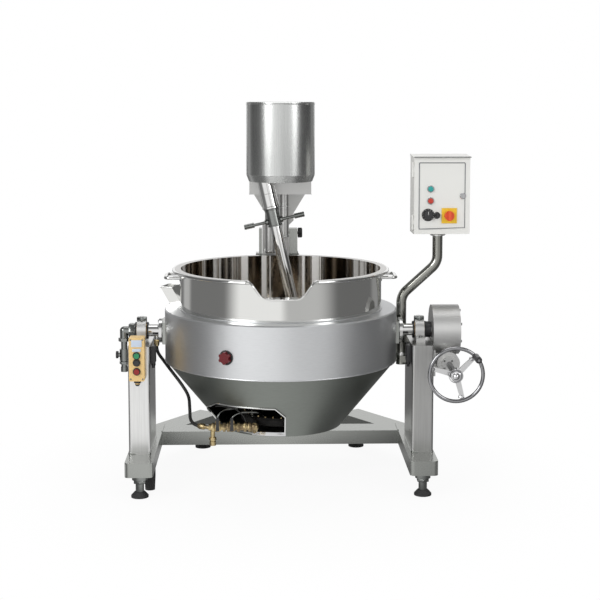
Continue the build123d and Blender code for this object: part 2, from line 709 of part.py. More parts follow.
def spout_section(inset, top, narrowing, rise):
    """Outline of the pouring trough: straight sides that turn into its floor through round corners."""
    half_top = (SPOUT_WIDTH / 2 - inset) * narrowing
    half_floor = (SPOUT_FLOOR_WIDTH / 2 - inset) * narrowing
    floor = RIM_Z - SPOUT_DEPTH + inset + rise
    points = [(-half_top, top), (-half_floor, floor), (half_floor, floor), (half_top, top)]
    outline = Polyline(*points, close=True)
    face = make_face(outline)
    return fillet(face.vertices().group_by(Axis.Y)[0], SPOUT_ROUND * narrowing)


def spout_solid(inset, top, front):
    """The pouring lip: a round-cornered trough that narrows towards its edge."""
    back_y = -BOWL_RADIUS + 32
    near = Plane(origin=(0, back_y, 0), x_dir=(1, 0, 0), z_dir=(0, -1, 0))
    far = Plane(origin=(0, front, 0), x_dir=(1, 0, 0), z_dir=(0, -1, 0))
    sections = [
        near * spout_section(inset, top, 1.0, 0.0),
        far * spout_section(inset, top, LIP_NARROWING, LIP_RISE),
    ]
    return loft(sections, ruled=True)


def bowl():
    outer = bowl_body(BOWL_RADIUS + BOWL_WALL, DISH_RADIUS + BOWL_WALL, RIM_Z)
    flange = turned([
        (BOWL_RADIUS, RIM_Z),
        (FLANGE_RADIUS - 4, RIM_Z),
        (FLANGE_RADIUS, RIM_Z - 4),
        (FLANGE_RADIUS, RIM_Z - FLANGE_THICKNESS + 3),
        (FLANGE_RADIUS - 4, RIM_Z - FLANGE_THICKNESS),
        (BOWL_RADIUS, RIM_Z - FLANGE_THICKNESS),
    ])
    trough = spout_solid(0, RIM_Z, -SPOUT_REACH)
    hollow = bowl_body(BOWL_RADIUS, DISH_RADIUS, RIM_Z + 5)
    channel = spout_solid(BOWL_WALL, RIM_Z + EDGE_CUT, -SPOUT_REACH - EDGE_CUT)
    return outer + flange + trough - hollow - channel


def grab_handles():
    half = GRIP_LENGTH / 2
    wall = BOWL_RADIUS + BOWL_WALL + SEAT
    root = math.sqrt(wall ** 2 - (half - GRIP_RADIUS) ** 2)
    reach = [
        (root, -half, GRIP_Z),
        (GRIP_REACH, -half, GRIP_Z),
        (GRIP_REACH, half, GRIP_Z),
        (root, half, GRIP_Z),
    ]
    grip = bent_tube(reach, [GRIP_BEND, GRIP_BEND], GRIP_RADIUS)
    return group(grip, mirrored(grip))


# ---------------------------------------------------------------- jacket
def jacket_band():
    """Upper jacket: a bright band with a flat shoulder that carries the bowl's wall."""
    inner = BOWL_RADIUS + BOWL_WALL + SEAT
    band = turned([
        (inner, SHOULDER_Z - JACKET_WALL),
        (inner, SHOULDER_Z),
        (JACKET_RADIUS - 5, SHOULDER_Z),
        (JACKET_RADIUS, SHOULDER_Z - 5),
        (JACKET_RADIUS, BAND_BOTTOM),
        (JACKET_RADIUS - JACKET_WALL, BAND_BOTTOM),
        (JACKET_RADIUS - JACKET_WALL, SHOULDER_Z - JACKET_WALL),
    ])
    throat = Rectangle(FLUE_DEPTH - 2 * FLUE_WALL, FLUE_WIDTH - 2 * FLUE_WALL)
    flue_hole = flue_plane(0) * (Pos(0, 0, -10) * extrude(throat, amount=20))
    stem_hole = flame_plane() * Cylinder(FLAME_STEM_RADIUS + RUNNING, 30)
    return band - flue_hole - stem_hole


CONE_TOP_RADIUS = JACKET_RADIUS - CONE_LIP


def cone_radius(z):
    share = (z - CONE_BOTTOM_Z) / (BAND_BOTTOM - CONE_BOTTOM_Z)
    return CONE_BOTTOM_RADIUS + share * (CONE_TOP_RADIUS - CONE_BOTTOM_RADIUS)


def jacket_cone():
    """Lower jacket: a cone with a flat bottom, an air hole and the burner port."""
    wall = JACKET_WALL
    cone = turned([
        (0, CONE_BOTTOM_Z),
        (CONE_BOTTOM_RADIUS, CONE_BOTTOM_Z),
        (CONE_TOP_RADIUS, BAND_BOTTOM),
        (CONE_TOP_RADIUS - wall * 1.4, BAND_BOTTOM),
        (CONE_BOTTOM_RADIUS - wall * 1.2, CONE_BOTTOM_Z + wall),
        (0, CONE_BOTTOM_Z + wall),
    ])
    port = front_plate(
        [
            (PORT_LEFT, PORT_BOTTOM),
            (PORT_RIGHT, PORT_BOTTOM),
            (PORT_RIGHT, PORT_TOP - PORT_CORNER),
            (PORT_RIGHT - PORT_CORNER, PORT_TOP),
            (PORT_LEFT + PORT_CORNER, PORT_TOP),
            (PORT_LEFT, PORT_TOP - PORT_CORNER),
        ],
        -JACKET_RADIUS,
        -60,
    )
    air = rod((AIR_HOLE_X, 0, CONE_BOTTOM_Z - 5), (AIR_HOLE_X, 0, CONE_BOTTOM_Z + 10), AIR_HOLE_RADIUS)
    return cone - port - air


# ---------------------------------------------------------------- burner
def ring_burner():
    """Ring burner under the dish, on three legs, with its mixing tube."""
    inner, outer = BURNER_RADIUS - BURNER_TUBE, BURNER_RADIUS + BURNER_TUBE
    low, high, slope = BURNER_Z - BURNER_TUBE, BURNER_Z + BURNER_TUBE, BURNER_SLOPE
    ring = turned([
        (inner, low),
        (outer, low),
        (outer, high - slope),
        (outer - slope, high),
        (inner + slope, high),
        (inner, high - slope),
    ])
    for angle in (75, 195, 315):
        turn = math.radians(angle)
        x, y = BURNER_RADIUS * math.cos(turn), BURNER_RADIUS * math.sin(turn)
        ring += rod((x, y, CONE_BOTTOM_Z + JACKET_WALL), (x, y, low + WELD_DEPTH), BURNER_LEG_RADIUS)
    entry = -math.sqrt((outer - WELD_DEPTH) ** 2 - MIXER_X ** 2)
    ring += rod((MIXER_X, entry, BURNER_Z), (MIXER_X, MANIFOLD_Y + JET_GAP, BURNER_Z), MIXING_TUBE_RADIUS)
    return ring


HOSE_ROUTE = [
    (NIPPLE_X, 0, NIPPLE_END),
    (NIPPLE_X, 0, NIPPLE_END - 49),
    (-JACKET_RADIUS + 20, -40, AXIS_Z - 154),
    (-JACKET_RADIUS + 70, -82, AXIS_Z - 208),
    (-JACKET_RADIUS + 102, -124, AXIS_Z - 248),
    (-JACKET_RADIUS + 108, -180, AXIS_Z - 288),
    (MANIFOLD_LEFT - 76, MANIFOLD_Y + 68, MANIFOLD_Z + 14),
    (MANIFOLD_LEFT - 56, MANIFOLD_Y + 28, MANIFOLD_Z + 2),
    (MANIFOLD_LEFT - 16, MANIFOLD_Y + 8, MANIFOLD_Z),
]


def burner_manifold():
    """Brass gas rail with two cocks, the jet that feeds the mixing tube and a drain nipple."""
    left = (MANIFOLD_LEFT, MANIFOLD_Y, MANIFOLD_Z)
    jet = (MIXER_X, MANIFOLD_Y, MANIFOLD_Z)
    rail = rod(left, jet, MANIFOLD_RADIUS)
    stem_hole = COCK_STEM_RADIUS + RUNNING
    for x in COCK_PLACES:
        rail += Pos(x, MANIFOLD_Y, MANIFOLD_Z) * Sphere(COCK_RADIUS)
        rail += rod((x, MANIFOLD_Y, MANIFOLD_Z), (x, MANIFOLD_Y - COCK_NECK, MANIFOLD_Z), 9.0)
        rail -= rod((x, MANIFOLD_Y - 12, MANIFOLD_Z), (x, MANIFOLD_Y - COCK_NECK - 4, MANIFOLD_Z), stem_hole)
    rail += Pos(*jet) * Sphere(MANIFOLD_RADIUS + 4)
    elbow = (MIXER_X, MANIFOLD_Y, BURNER_Z)
    rail += rod(jet, elbow, JET_RADIUS)
    rail += Pos(*elbow) * Sphere(JET_RADIUS)
    rail += rod(elbow, (MIXER_X, MANIFOLD_Y + JET_GAP - SEAT, BURNER_Z), JET_RADIUS)
    inlet = Vector(*HOSE_ROUTE[-1])
    inwards = (inlet - Vector(*HOSE_ROUTE[-2])).normalized()
    rail += rod(inlet, inlet + inwards * 30, 8.0)
    drain = (MANIFOLD_LEFT + 16, MANIFOLD_Y)
    rail += rod((*drain, MANIFOLD_Z), (*drain, DRAIN_BOTTOM), 9.0)
    rail += rod((*drain, DRAIN_BOTTOM), (*drain, DRAIN_BOTTOM + 16), 13.0)
    return rail


def cock_lever(x):
    y = MANIFOLD_Y - COCK_NECK
    stem = rod((x, y + COCK_NECK / 2, MANIFOLD_Z), (x, y - 8, MANIFOLD_Z), COCK_STEM_RADIUS)
    lever = front_plate(
        [
            (x - 7, MANIFOLD_Z - 7),
            (x + 7, MANIFOLD_Z - 7),
            (x + 5, MANIFOLD_Z + 44),
            (x - 5, MANIFOLD_Z + 44),
        ],
        y - 10,
        y - SEAT,
    )
    return stem + lever


def gas_hose():
    """Rubber gas hose from the trunnion's nipple to the manifold, held along the cone."""
    points = [Vector(*p) for p in HOSE_ROUTE]
    radii = []
    for before, here, after in zip(points, points[1:], points[2:]):
        turn = (here - before).get_angle(after - here)
        shorter = min((here - before).length, (after - here).length)
        radii.append(0.45 * shorter / math.tan(math.radians(turn / 2)))
    return bent_tube(HOSE_ROUTE, radii, HOSE_RADIUS)


def flue_plane(rise):
    """Section plane of the flue, a rise above the shoulder, with its X axis pointing outwards."""
    turn = math.radians(FLUE_ANGLE)
    out = Vector(math.cos(turn), math.sin(turn), 0)
    radius = JACKET_RADIUS - 6 - FLUE_DEPTH / 2 + FLUE_LEAN * rise / FLUE_HEIGHT
    return Plane(origin=out * radius + Vector(0, 0, SHOULDER_Z + rise), x_dir=out, z_dir=(0, 0, 1))


def flue_box():
    """Short chimney on the shoulder, leaning outwards."""
    low, high = flue_plane(0), flue_plane(FLUE_HEIGHT)
    full = Rectangle(FLUE_DEPTH, FLUE_WIDTH)
    slim = Rectangle(FLUE_DEPTH - 2 * FLUE_WALL, FLUE_WIDTH - 2 * FLUE_WALL)
    shell = loft([low * full, high * full], ruled=True)
    return shell - loft([low * slim, high * slim], ruled=True)


# ---------------------------------------------------------------- rear yoke
def rear_yoke():
    """Bent bar round the back of the jacket, bolted to both trunnions, with a riser for the head's hinge."""
    low = AXIS_Z - YOKE_HEIGHT / 2
    ring = turned([
        (YOKE_INNER, low),
        (YOKE_OUTER, low),
        (YOKE_OUTER, low + YOKE_HEIGHT),
        (YOKE_INNER, low + YOKE_HEIGHT),
    ])
    reach = YOKE_OUTER + 10
    arm_end = -YOKE_OUTER * math.sin(math.radians(YOKE_HALF_ANGLE - 90))
    front_cut = block((-reach, reach), (-reach, arm_end), (low - 1, low + YOKE_HEIGHT + 1))
    hole = rod((-reach, 0, AXIS_Z), (reach, 0, AXIS_Z), SHAFT_RADIUS + RUNNING)
    return ring - front_cut - hole


def bracket_cheek(xs):
    left, right = xs
    cheek = side_plate(
        [
            (YOKE_OUTER + 6, AXIS_Z - 40),
            (BRACKET_BACK, AXIS_Z + 40),
            (BRACKET_BACK, HINGE_Z + 20),
            (HINGE_Y + 26, LOCK_Z + 22),
            (HINGE_Y - 26, LOCK_Z + 22),
            (HINGE_Y - 34, HINGE_Z + 20),
            (HINGE_Y - 34, HINGE_Z - 60),
            (YOKE_OUTER + 6, HINGE_Z - 120),
        ],
        left,
        right,
    )
    return cheek


def hinge_bracket():
    """Two cheeks and a back plate that stand on the yoke and hold the head's hinge pin."""
    near, far = YOKE_OUTER + SEAT, YOKE_OUTER + BRACKET_PLATE
    left, right = CHEEK_LEFT[0], CHEEK_RIGHT[1]
    back = block((left, right), (near, far), (AXIS_Z - 44, HINGE_Z - 110))
    pad = block((left - 29, right + 40), (near, far), (AXIS_Z - 44, AXIS_Z + 44))
    bracket = back + pad + bracket_cheek(CHEEK_RIGHT) + bracket_cheek(CHEEK_LEFT)
    curve = rod((0, 0, 0), (0, 0, HINGE_Z), YOKE_OUTER + SEAT)
    pin = rod((left - 5, HINGE_Y, HINGE_Z), (right + 5, HINGE_Y, HINGE_Z), HINGE_PIN_RADIUS + RUNNING)
    lock = rod((0, HINGE_Y, LOCK_Z), (right + 5, HINGE_Y, LOCK_Z), LOCK_STEM_RADIUS + RUNNING)
    return bracket - curve - pin - lock


def hinge_pin():
    left, right = CHEEK_LEFT[0], CHEEK_RIGHT[1]
    pin = rod((left - 8, HINGE_Y, HINGE_Z), (right + 8, HINGE_Y, HINGE_Z), HINGE_PIN_RADIUS)
    head = rod((left - 14, HINGE_Y, HINGE_Z), (left - SEAT, HINGE_Y, HINGE_Z), HINGE_PIN_RADIUS + 7)
    return pin + head


def head_lock_knob():
    """Clamp screw through the right cheek, with a round grip."""
    left, right = CHEEK_RIGHT
    stem = rod((left - 1.5, HINGE_Y, LOCK_Z), (right + 10, HINGE_Y, LOCK_Z), LOCK_STEM_RADIUS)
    grip = rod((right + 2, HINGE_Y, LOCK_Z), (right + 22, HINGE_Y, LOCK_Z), LOCK_GRIP_RADIUS)
    return stem + grip


# ---------------------------------------------------------------- mixer head
def head_frame():
    """Post with a V-shaped head, the arm over the bowl and the saddle that backs the canister."""
    half = POST_WIDTH / 2
    arm_half = ARM_WIDTH / 2
    back = POST_FRONT + POST_DEPTH
    lug_left, lug_right = CHEEK_LEFT[1] + 2, CHEEK_RIGHT[0] - 2
    neck = LOCK_Z + 60
    post = front_plate(
        [
            (lug_left, POST_BOTTOM),
            (lug_right, POST_BOTTOM),
            (lug_right, neck - 20),
            (half, neck),
            (half, FLARE_START),
            (arm_half, ARM_BOTTOM),
            (arm_half, ARM_TOP),
            (-arm_half, ARM_TOP),
            (-arm_half, ARM_BOTTOM),
            (-half, FLARE_START),
            (-half, neck),
            (lug_left, neck - 20),
        ],
        POST_FRONT,
        back,
    )
    arm = block((-arm_half, arm_half), (ARM_FRONT, back), (ARM_BOTTOM, ARM_TOP))
    hollow = block(
        (-arm_half + ARM_WALL, arm_half - ARM_WALL),
        (ARM_FRONT + ARM_WALL, back - ARM_WALL),
        (ARM_BOTTOM - EDGE_CUT, ARM_TOP - ARM_WALL),
    )
    floor = block((-arm_half, arm_half), (ARM_FRONT, POST_FRONT), (ARM_BOTTOM, ARM_BOTTOM + ARM_WALL))
    frame = post + (arm - hollow) + floor + saddle()
    for x, radius, rise in LIFT_TUBES:
        y = POST_FRONT - radius + WELD_DEPTH
        frame += rod((x, y, HINGE_Z + rise), (x, y, ARM_BOTTOM + WELD_DEPTH), radius)
    reach = CHEEK_RIGHT[1] + 5
    pin = rod((-reach - 20, HINGE_Y, HINGE_Z), (reach, HINGE_Y, HINGE_Z), HINGE_PIN_RADIUS + RUNNING)
    return frame - pin


def saddle():
    """Curved plate with a rib, welded on the arm behind the canister."""
    inner = CAN_RADIUS + SEAT
    outer = inner + SADDLE_THICKNESS
    low = ARM_TOP - EDGE_CUT
    high = ARM_TOP + SADDLE_HEIGHT
    plate = turned([(inner, low), (outer, low), (outer, high), (inner, high)])
    plate &= block((-100, 100), (60, outer + 10), (low, high))
    rib = side_plate([(inner + 6, low), (inner + 170, low), (inner + 6, high - 10)], -6, 6)
    return plate + rib


def canister():
    """Round housing of the drive, open at the top for its lid and at the bottom for the carrier."""
    inner = CAN_RADIUS - CAN_WALL
    return turned([
        (CARRIER_RADIUS + CARRIER_GAP, ARM_TOP),
        (CAN_RADIUS - CAN_CHAMFER, ARM_TOP),
        (CAN_RADIUS, ARM_TOP + CAN_FOOT),
        (CAN_RADIUS, CAN_TOP - LID_THICKNESS),
        (inner, CAN_TOP - LID_THICKNESS),
        (inner, ARM_TOP + CAN_FOOT),
        (inner - CAN_CHAMFER, ARM_TOP + 4),
        (CARRIER_RADIUS + CARRIER_GAP, ARM_TOP + 4),
    ])


def canister_lid():
    low = CAN_TOP - LID_THICKNESS
    return turned([
        (0, low),
        (CAN_RADIUS, low),
        (CAN_RADIUS, CAN_TOP - 2),
        (CAN_RADIUS - 2, CAN_TOP),
        (0, CAN_TOP),
    ])


PLATE_Z = DISH_CENTRE_Z + GEAR_NEAR + GEAR_WIDTH + 10
REDUCER_TOP = PLATE_Z + MOUNT_PLATE + REDUCER_HEIGHT


def upright(sketch, low, high):
    return Pos(0, 0, low) * extrude(sketch, amount=high - low)


def drive_motor():
    """Mounting plate, reducer and motor that turn the carrier."""
    plate_top = PLATE_Z + MOUNT_PLATE
    drive = upright(Circle(CAN_RADIUS - CAN_WALL - SEAT), PLATE_Z, plate_top)
    drive += upright(Rectangle(REDUCER_SIDE, REDUCER_SIDE), plate_top, REDUCER_TOP)
    drive += upright(Circle(MOTOR_RADIUS), REDUCER_TOP, CAN_TOP - LID_THICKNESS - 20)
    return drive - rod((0, 0, PLATE_Z - 1), (0, 0, plate_top + DRIVE_REACH + 5), DRIVE_RADIUS + RUNNING)


def cone_gear_section(distance, phase):
    """Section of a slightly conical gear at a distance from the shaft crossing."""
    pitch = distance * math.tan(math.radians(TILT / 2))
    module = 2 * pitch / GEAR_TEETH
    points = []
    for tooth in range(GEAR_TEETH):
        middle = phase + tooth * 2 * math.pi / GEAR_TEETH
        for radius, width, side in (
            (pitch - 1.15 * module, 0.50, -1),
            (pitch + 0.85 * module, 0.17, -1),
            (pitch + 0.85 * module, 0.17, 1),
            (pitch - 1.15 * module, 0.50, 1),
        ):
            angle = middle + side * width * math.pi / GEAR_TEETH
            points.append((radius * math.cos(angle), radius * math.sin(angle)))
    return make_face(Polyline(*points, close=True))


def cone_gear(phase):
    near = Pos(0, 0, GEAR_NEAR) * cone_gear_section(GEAR_NEAR, phase)
    far = Pos(0, 0, GEAR_NEAR + GEAR_WIDTH) * cone_gear_section(GEAR_NEAR + GEAR_WIDTH, phase)
    return loft([near, far], ruled=True)


def sun_gear():
    """Fixed gear that the agitator's gear rolls round, hung from the mounting plate."""
    gear = Pos(0, 0, DISH_CENTRE_Z) * cone_gear(math.pi)
    neck_bottom = DISH_CENTRE_Z + GEAR_NEAR + GEAR_WIDTH - 1
    gear += rod((0, 0, neck_bottom), (0, 0, PLATE_Z), GEAR_NECK_RADIUS)
    return gear - rod((0, 0, DISH_CENTRE_Z), (0, 0, PLATE_Z + 1), DRIVE_RADIUS + 2)


def inclined(shape):
    """Places a shape drawn along Z, from the dish centre, on the inclined axis."""
    return Pos(0, 0, DISH_CENTRE_Z) * (Rot(0, -TILT, 0) * shape)


def spindle(low, high, radius):
    return inclined(rod((0, 0, low), (0, 0, high), radius))


def carrier():
    """Turning disc in the canister's mouth, with the drive shaft and the inclined bearing sleeve."""
    low = ARM_TOP + 1
    high = low + CARRIER_THICKNESS
    disc = rod((0, 0, low), (0, 0, high), CARRIER_RADIUS)
    disc += rod((0, 0, low), (0, 0, PLATE_Z + MOUNT_PLATE + DRIVE_REACH), DRIVE_RADIUS)
    reach = (low + CARRIER_THICKNESS / 2 - DISH_CENTRE_Z) / math.cos(math.radians(TILT))
    disc += spindle(SLEEVE_BOTTOM, reach, SLEEVE_RADIUS)
    disc += spindle(SLEEVE_BOTTOM, SLEEVE_BOTTOM + 5, SLEEVE_RADIUS + 2)
    return disc - spindle(SLEEVE_BOTTOM - 1, GEAR_NEAR, SPINDLE_RADIUS + RUNNING)


GEAR_SEAT_RADIUS = 16.0
SPINDLE_BOTTOM = -(DISH_RADIUS - SCRAPER_GAP - SCRAPER_HEIGHT - ANCHOR_BAR / 2)


def agitator_shaft():
    shaft = spindle(SPINDLE_BOTTOM, GEAR_NEAR - 2, SPINDLE_RADIUS)
    return shaft + spindle(GEAR_NEAR - 3, GEAR_NEAR + GEAR_WIDTH + 4, GEAR_SEAT_RADIUS)


def planet_gear():
    gear = cone_gear(math.pi / GEAR_TEETH)
    gear -= rod((0, 0, GEAR_NEAR - 5), (0, 0, GEAR_NEAR + GEAR_WIDTH + 5), GEAR_SEAT_RADIUS + RUNNING)
    return inclined(gear)


def tee_handle():
    """Coupling sleeve with a cross bar, slid down to free the agitator."""
    sleeve = rod((0, 0, TEE_SLEEVE_BOTTOM), (0, 0, SLEEVE_BOTTOM - 1), TEE_SLEEVE_RADIUS)
    half = TEE_LENGTH / 2
    sleeve += rod((-half, 0, TEE_HEIGHT), (half, 0, TEE_HEIGHT), TEE_BAR_RADIUS)
    for side in (-1, 1):
        start = side * (half - TEE_GRIP_LENGTH)
        sleeve += rod((start, 0, TEE_HEIGHT), (side * half, 0, TEE_HEIGHT), TEE_GRIP_RADIUS)
    return inclined(sleeve - rod((0, 0, 0), (0, 0, 400), SPINDLE_RADIUS + RUNNING))


def arc_bar(inner, outer, half_angle, half_width, start_angle=None):
    """A bar bent about the dish centre, in the XZ plane, hanging below it."""
    first = -half_angle if start_angle is None else start_angle
    last = half_angle

    def at(radius, angle):
        turn = math.radians(angle)
        return (radius * math.sin(turn), -radius * math.cos(turn))

    middle = (first + last) / 2
    outline = ThreePointArc(at(outer, first), at(outer, middle), at(outer, last))
    outline += Line(at(outer, last), at(inner, last))
    outline += ThreePointArc(at(inner, last), at(inner, middle), at(inner, first))
    outline += Line(at(inner, first), at(outer, first))
    return Pos(0, half_width, 0) * extrude(Plane.XZ * make_face(outline), amount=2 * half_width)


BAR_OUTER = DISH_RADIUS - SCRAPER_GAP - SCRAPER_HEIGHT + 8
BAR_INNER = BAR_OUTER - ANCHOR_BAR


def agitator_frame():
    """Anchor: a bar bent to the dish, two stays up to a collar, and a crossbar."""
    frame = arc_bar(BAR_INNER, BAR_OUTER, ANCHOR_HALF_ANGLE, ANCHOR_BAR / 2)
    turn = math.radians(ANCHOR_HALF_ANGLE - 1)
    middle_radius = (BAR_INNER + BAR_OUTER) / 2
    end = (middle_radius * math.sin(turn), 0, -middle_radius * math.cos(turn))
    for side in (-1, 1):
        frame += rod((side * end[0], 0, end[2]), (side * 30, 0, -STAY_TOP), 8.0)
    frame += rod((0, 0, -STAY_TOP - 30), (0, 0, -STAY_TOP + 24), SPINDLE_RADIUS + 12)
    frame += rod((0, 0, -BAR_INNER - 2), (0, 0, -BAR_INNER + 40), SPINDLE_RADIUS + 10)
    bore = rod((0, 0, 0), (0, 0, SPINDLE_BOTTOM - EDGE_CUT), SPINDLE_RADIUS + RUNNING)
    return inclined(frame - bore)


def scrapers():
    """Plastic blades on the anchor's front, which wipe the dish."""
    gap = 1.0
    span = 2 * SCRAPER_HALF_ANGLE / SCRAPER_COUNT
    blades = []
    for place in range(SCRAPER_COUNT):
        first = -SCRAPER_HALF_ANGLE + place * span + gap / 2
        last = first + span - gap
        blade = arc_bar(
            DISH_RADIUS - SCRAPER_GAP - SCRAPER_HEIGHT,
            DISH_RADIUS - SCRAPER_GAP,
            last,
            SCRAPER_THICKNESS / 2,
            start_angle=first,
        )
        offset_y = -(ANCHOR_BAR / 2 + SCRAPER_THICKNESS / 2)
        blades.append(inclined(Pos(0, offset_y, 0) * blade))
    return group(*blades)


# ---------------------------------------------------------------- cabinet
CABINET_RIGHT = CABINET_LEFT + CABINET_WIDTH
CABINET_TOP = CABINET_BOTTOM + CABINET_HEIGHT
SHELL_FRONT = DOOR_THICKNESS
KNUCKLE_X = CABINET_LEFT - HINGE_KNUCKLE + 1
KNUCKLE_Y = DOOR_THICKNESS - HINGE_KNUCKLE - 2
KNUCKLES = (CABINET_BOTTOM + 50, CABINET_TOP - 50)


def cabinet_shell():
    xs = (CABINET_LEFT, CABINET_RIGHT)
    zs = (CABINET_BOTTOM, CABINET_TOP)
    wall = CABINET_WALL
    back = SHELL_FRONT + CABINET_DEPTH
    shell = block(xs, (SHELL_FRONT, back), zs)
    shell -= block(
        (xs[0] + wall, xs[1] - wall),
        (SHELL_FRONT + wall, back - wall),
        (zs[0] + wall, zs[1] - wall),
    )
    shell -= block(
        (xs[0] + CABINET_LIP, xs[1] - CABINET_LIP),
        (SHELL_FRONT - EDGE_CUT, SHELL_FRONT + 2 * wall),
        (zs[0] + CABINET_LIP, zs[1] - CABINET_LIP),
    )
    hood = side_plate(
        [
            (-HOOD_OVERHANG, CABINET_TOP),
            (back, CABINET_TOP),
            (back, CABINET_TOP + 9),
            (-HOOD_OVERHANG, CABINET_TOP + 3),
        ],
        CABINET_LEFT - wall,
        CABINET_RIGHT + wall,
    )
    shell += hood
    for z in KNUCKLES:
        split = KNUCKLE_SPLIT + SEAT
        for low, high in ((z - KNUCKLE_HALF, z - split), (z + split, z + KNUCKLE_HALF)):
            shell += block((KNUCKLE_X, CABINET_LEFT + 1), (KNUCKLE_Y, SHELL_FRONT + 8), (low, high))
            shell += rod((KNUCKLE_X, KNUCKLE_Y, low), (KNUCKLE_X, KNUCKLE_Y, high), HINGE_KNUCKLE)
        wire = KNUCKLE_SPLIT + 2
        shell += rod((KNUCKLE_X, KNUCKLE_Y, z - wire), (KNUCKLE_X, KNUCKLE_Y, z + wire), HINGE_WIRE)
    return shell


def door_hole(place, radius):
    x, z = place
    return rod((x, -20, z), (x, DOOR_THICKNESS + 20, z), radius + RUNNING)


def cabinet_door():
    xs = (CABINET_LEFT + 1, CABINET_RIGHT - 1)
    zs = (CABINET_BOTTOM + 1, CABINET_TOP - 1)
    back = DOOR_THICKNESS - DOOR_GAP
    door = block(xs, (0, back), zs)
    rim = PANEL_EDGE
    door -= block((xs[0] + rim, xs[1] - rim), (-EDGE_CUT, PANEL_DEPTH), (zs[0] + rim, zs[1] - rim))
    door -= block((xs[0] + 3, xs[1] - 3), (DOOR_SKIN, back + EDGE_CUT), (zs[0] + 3, zs[1] - 3))
    half = SWITCH_PLATE / 2
    x, z = MAIN_SWITCH
    door += block((x - half, x + half), (PLATE_FRONT, 2 * PANEL_DEPTH), (z - half, z + half))
    for lamp in LAMPS:
        door -= door_hole(lamp, LAMP_STEM)
    for place in (SPEED_KNOB, SELECTOR, MAIN_SWITCH, DOOR_LOCK):
        door -= door_hole(place, STEM_RADIUS)
    for z in KNUCKLES:
        low, high = z - KNUCKLE_SPLIT, z + KNUCKLE_SPLIT
        door += block((KNUCKLE_X, xs[0] + 1), (KNUCKLE_Y - 4, KNUCKLE_Y + 1), (low, high))
        door += rod((KNUCKLE_X, KNUCKLE_Y, low), (KNUCKLE_X, KNUCKLE_Y, high), HINGE_KNUCKLE)
        door -= rod((KNUCKLE_X, KNUCKLE_Y, low - 3), (KNUCKLE_X, KNUCKLE_Y, high + 3), HINGE_WIRE + RUNNING)
    return door


def knob(place, radius, height, seat=PANEL_DEPTH, bar=0.0):
    """A turning knob with its stem through the door."""
    x, z = place
    face = seat - SEAT
    grip = rod((x, face, z), (x, face - height, z), radius)
    if bar:
        grip += block((x - bar, x + bar), (face - height - 12, face - height + 1), (z - radius, z + radius))
    return grip + rod((x, face - 1, z), (x, DOOR_THICKNESS + 6, z), STEM_RADIUS)


def signal_lamps():
    lamps = []
    for x, z in LAMPS:
        lens = rod((x, PANEL_DEPTH - SEAT, z), (x, -10, z), LAMP_RADIUS)
        lens = fillet(lens.edges().filter_by(GeomType.CIRCLE).sort_by(Axis.Y)[:1], 5.0)
        lamps.append(lens + rod((x, 1, z), (x, DOOR_THICKNESS + 18, z), LAMP_STEM))
    return group(*lamps)


def door_lock():
    x, z = DOOR_LOCK
    barrel = rod((x, 1.2, z), (x, -3, z), 9.0)
    barrel -= block((x - 1.2, x + 1.2), (-4, -1), (z - 6, z + 6))
    barrel += rod((x, 0, z), (x, DOOR_THICKNESS + 9, z), STEM_RADIUS)
    tongue = block((x - 5, x + 5), (SHELL_FRONT + 5, SHELL_FRONT + 8), (z - 5, z + 18))
    return barrel + tongue


def control_gear():
    """Back plate with the inverter and a row of contactors."""
    back = SHELL_FRONT + CABINET_DEPTH - CABINET_WALL
    left, right = CABINET_LEFT + 20, CABINET_RIGHT - 20
    top = CABINET_TOP - 22
    gear = block((left, right), (back - 6, back), (CABINET_BOTTOM + 22, top))
    gear += block((left + 12, left + 102), (back - 72, back - 5), (top - 138, top - 14))
    pitch = (right - left - 20) / 4
    for place in range(4):
        low = left + 12 + place * pitch
        high = low + pitch - 6
        gear += block((low, high), (back - 54, back - 5), (CABINET_BOTTOM + 46, CABINET_BOTTOM + 112))
    return gear


COLUMN_INNER = COLUMN_X - COLUMN_WIDTH / 2
POST_TUBE_FOOT_X = COLUMN_INNER - POST_TUBE_RADIUS - 1


def cabinet_post():
    """Bent tube from the right column up to the cabinet, with its two clamps."""
    top = CABINET_BOTTOM
    low_bend, high_bend = POST_TUBE_BENDS
    foot, head = (POST_TUBE_FOOT_X, POST_TUBE_Y), (POST_TUBE_TOP_X, POST_TUBE_Y)
    route = [(*head, top), (*head, high_bend), (*foot, low_bend), (*foot, POST_TUBE_FOOT_Z)]
    bends = [POST_TUBE_BEND_RADIUS, POST_TUBE_BEND_RADIUS]
    post = bent_tube(route, bends, POST_TUBE_RADIUS, POST_TUBE_RADIUS - POST_TUBE_WALL)
    core = rod((*foot, POST_TUBE_FOOT_Z), (*foot, low_bend), POST_TUBE_RADIUS - 1)
    for z in POST_CLAMPS:
        clamp = block(
            (POST_TUBE_FOOT_X - 4, COLUMN_INNER),
            (POST_TUBE_Y - 30, POST_TUBE_Y + 30),
            (z - POST_CLAMP_HALF, z + POST_CLAMP_HALF),
        )
        post += clamp - core
    flange = rod((*head, top - POST_FLANGE_THICKNESS), (*head, top), POST_FLANGE_RADIUS)
    inside = rod((*head, top - POST_FLANGE_THICKNESS - 1), (*head, top + 1), POST_TUBE_RADIUS - 1)
    return post + (flange - inside)


# ---------------------------------------------------------------- left side
STATION_BACK = -COLUMN_DEPTH / 2
STATION_FRONT = STATION_BACK - STATION_DEPTH


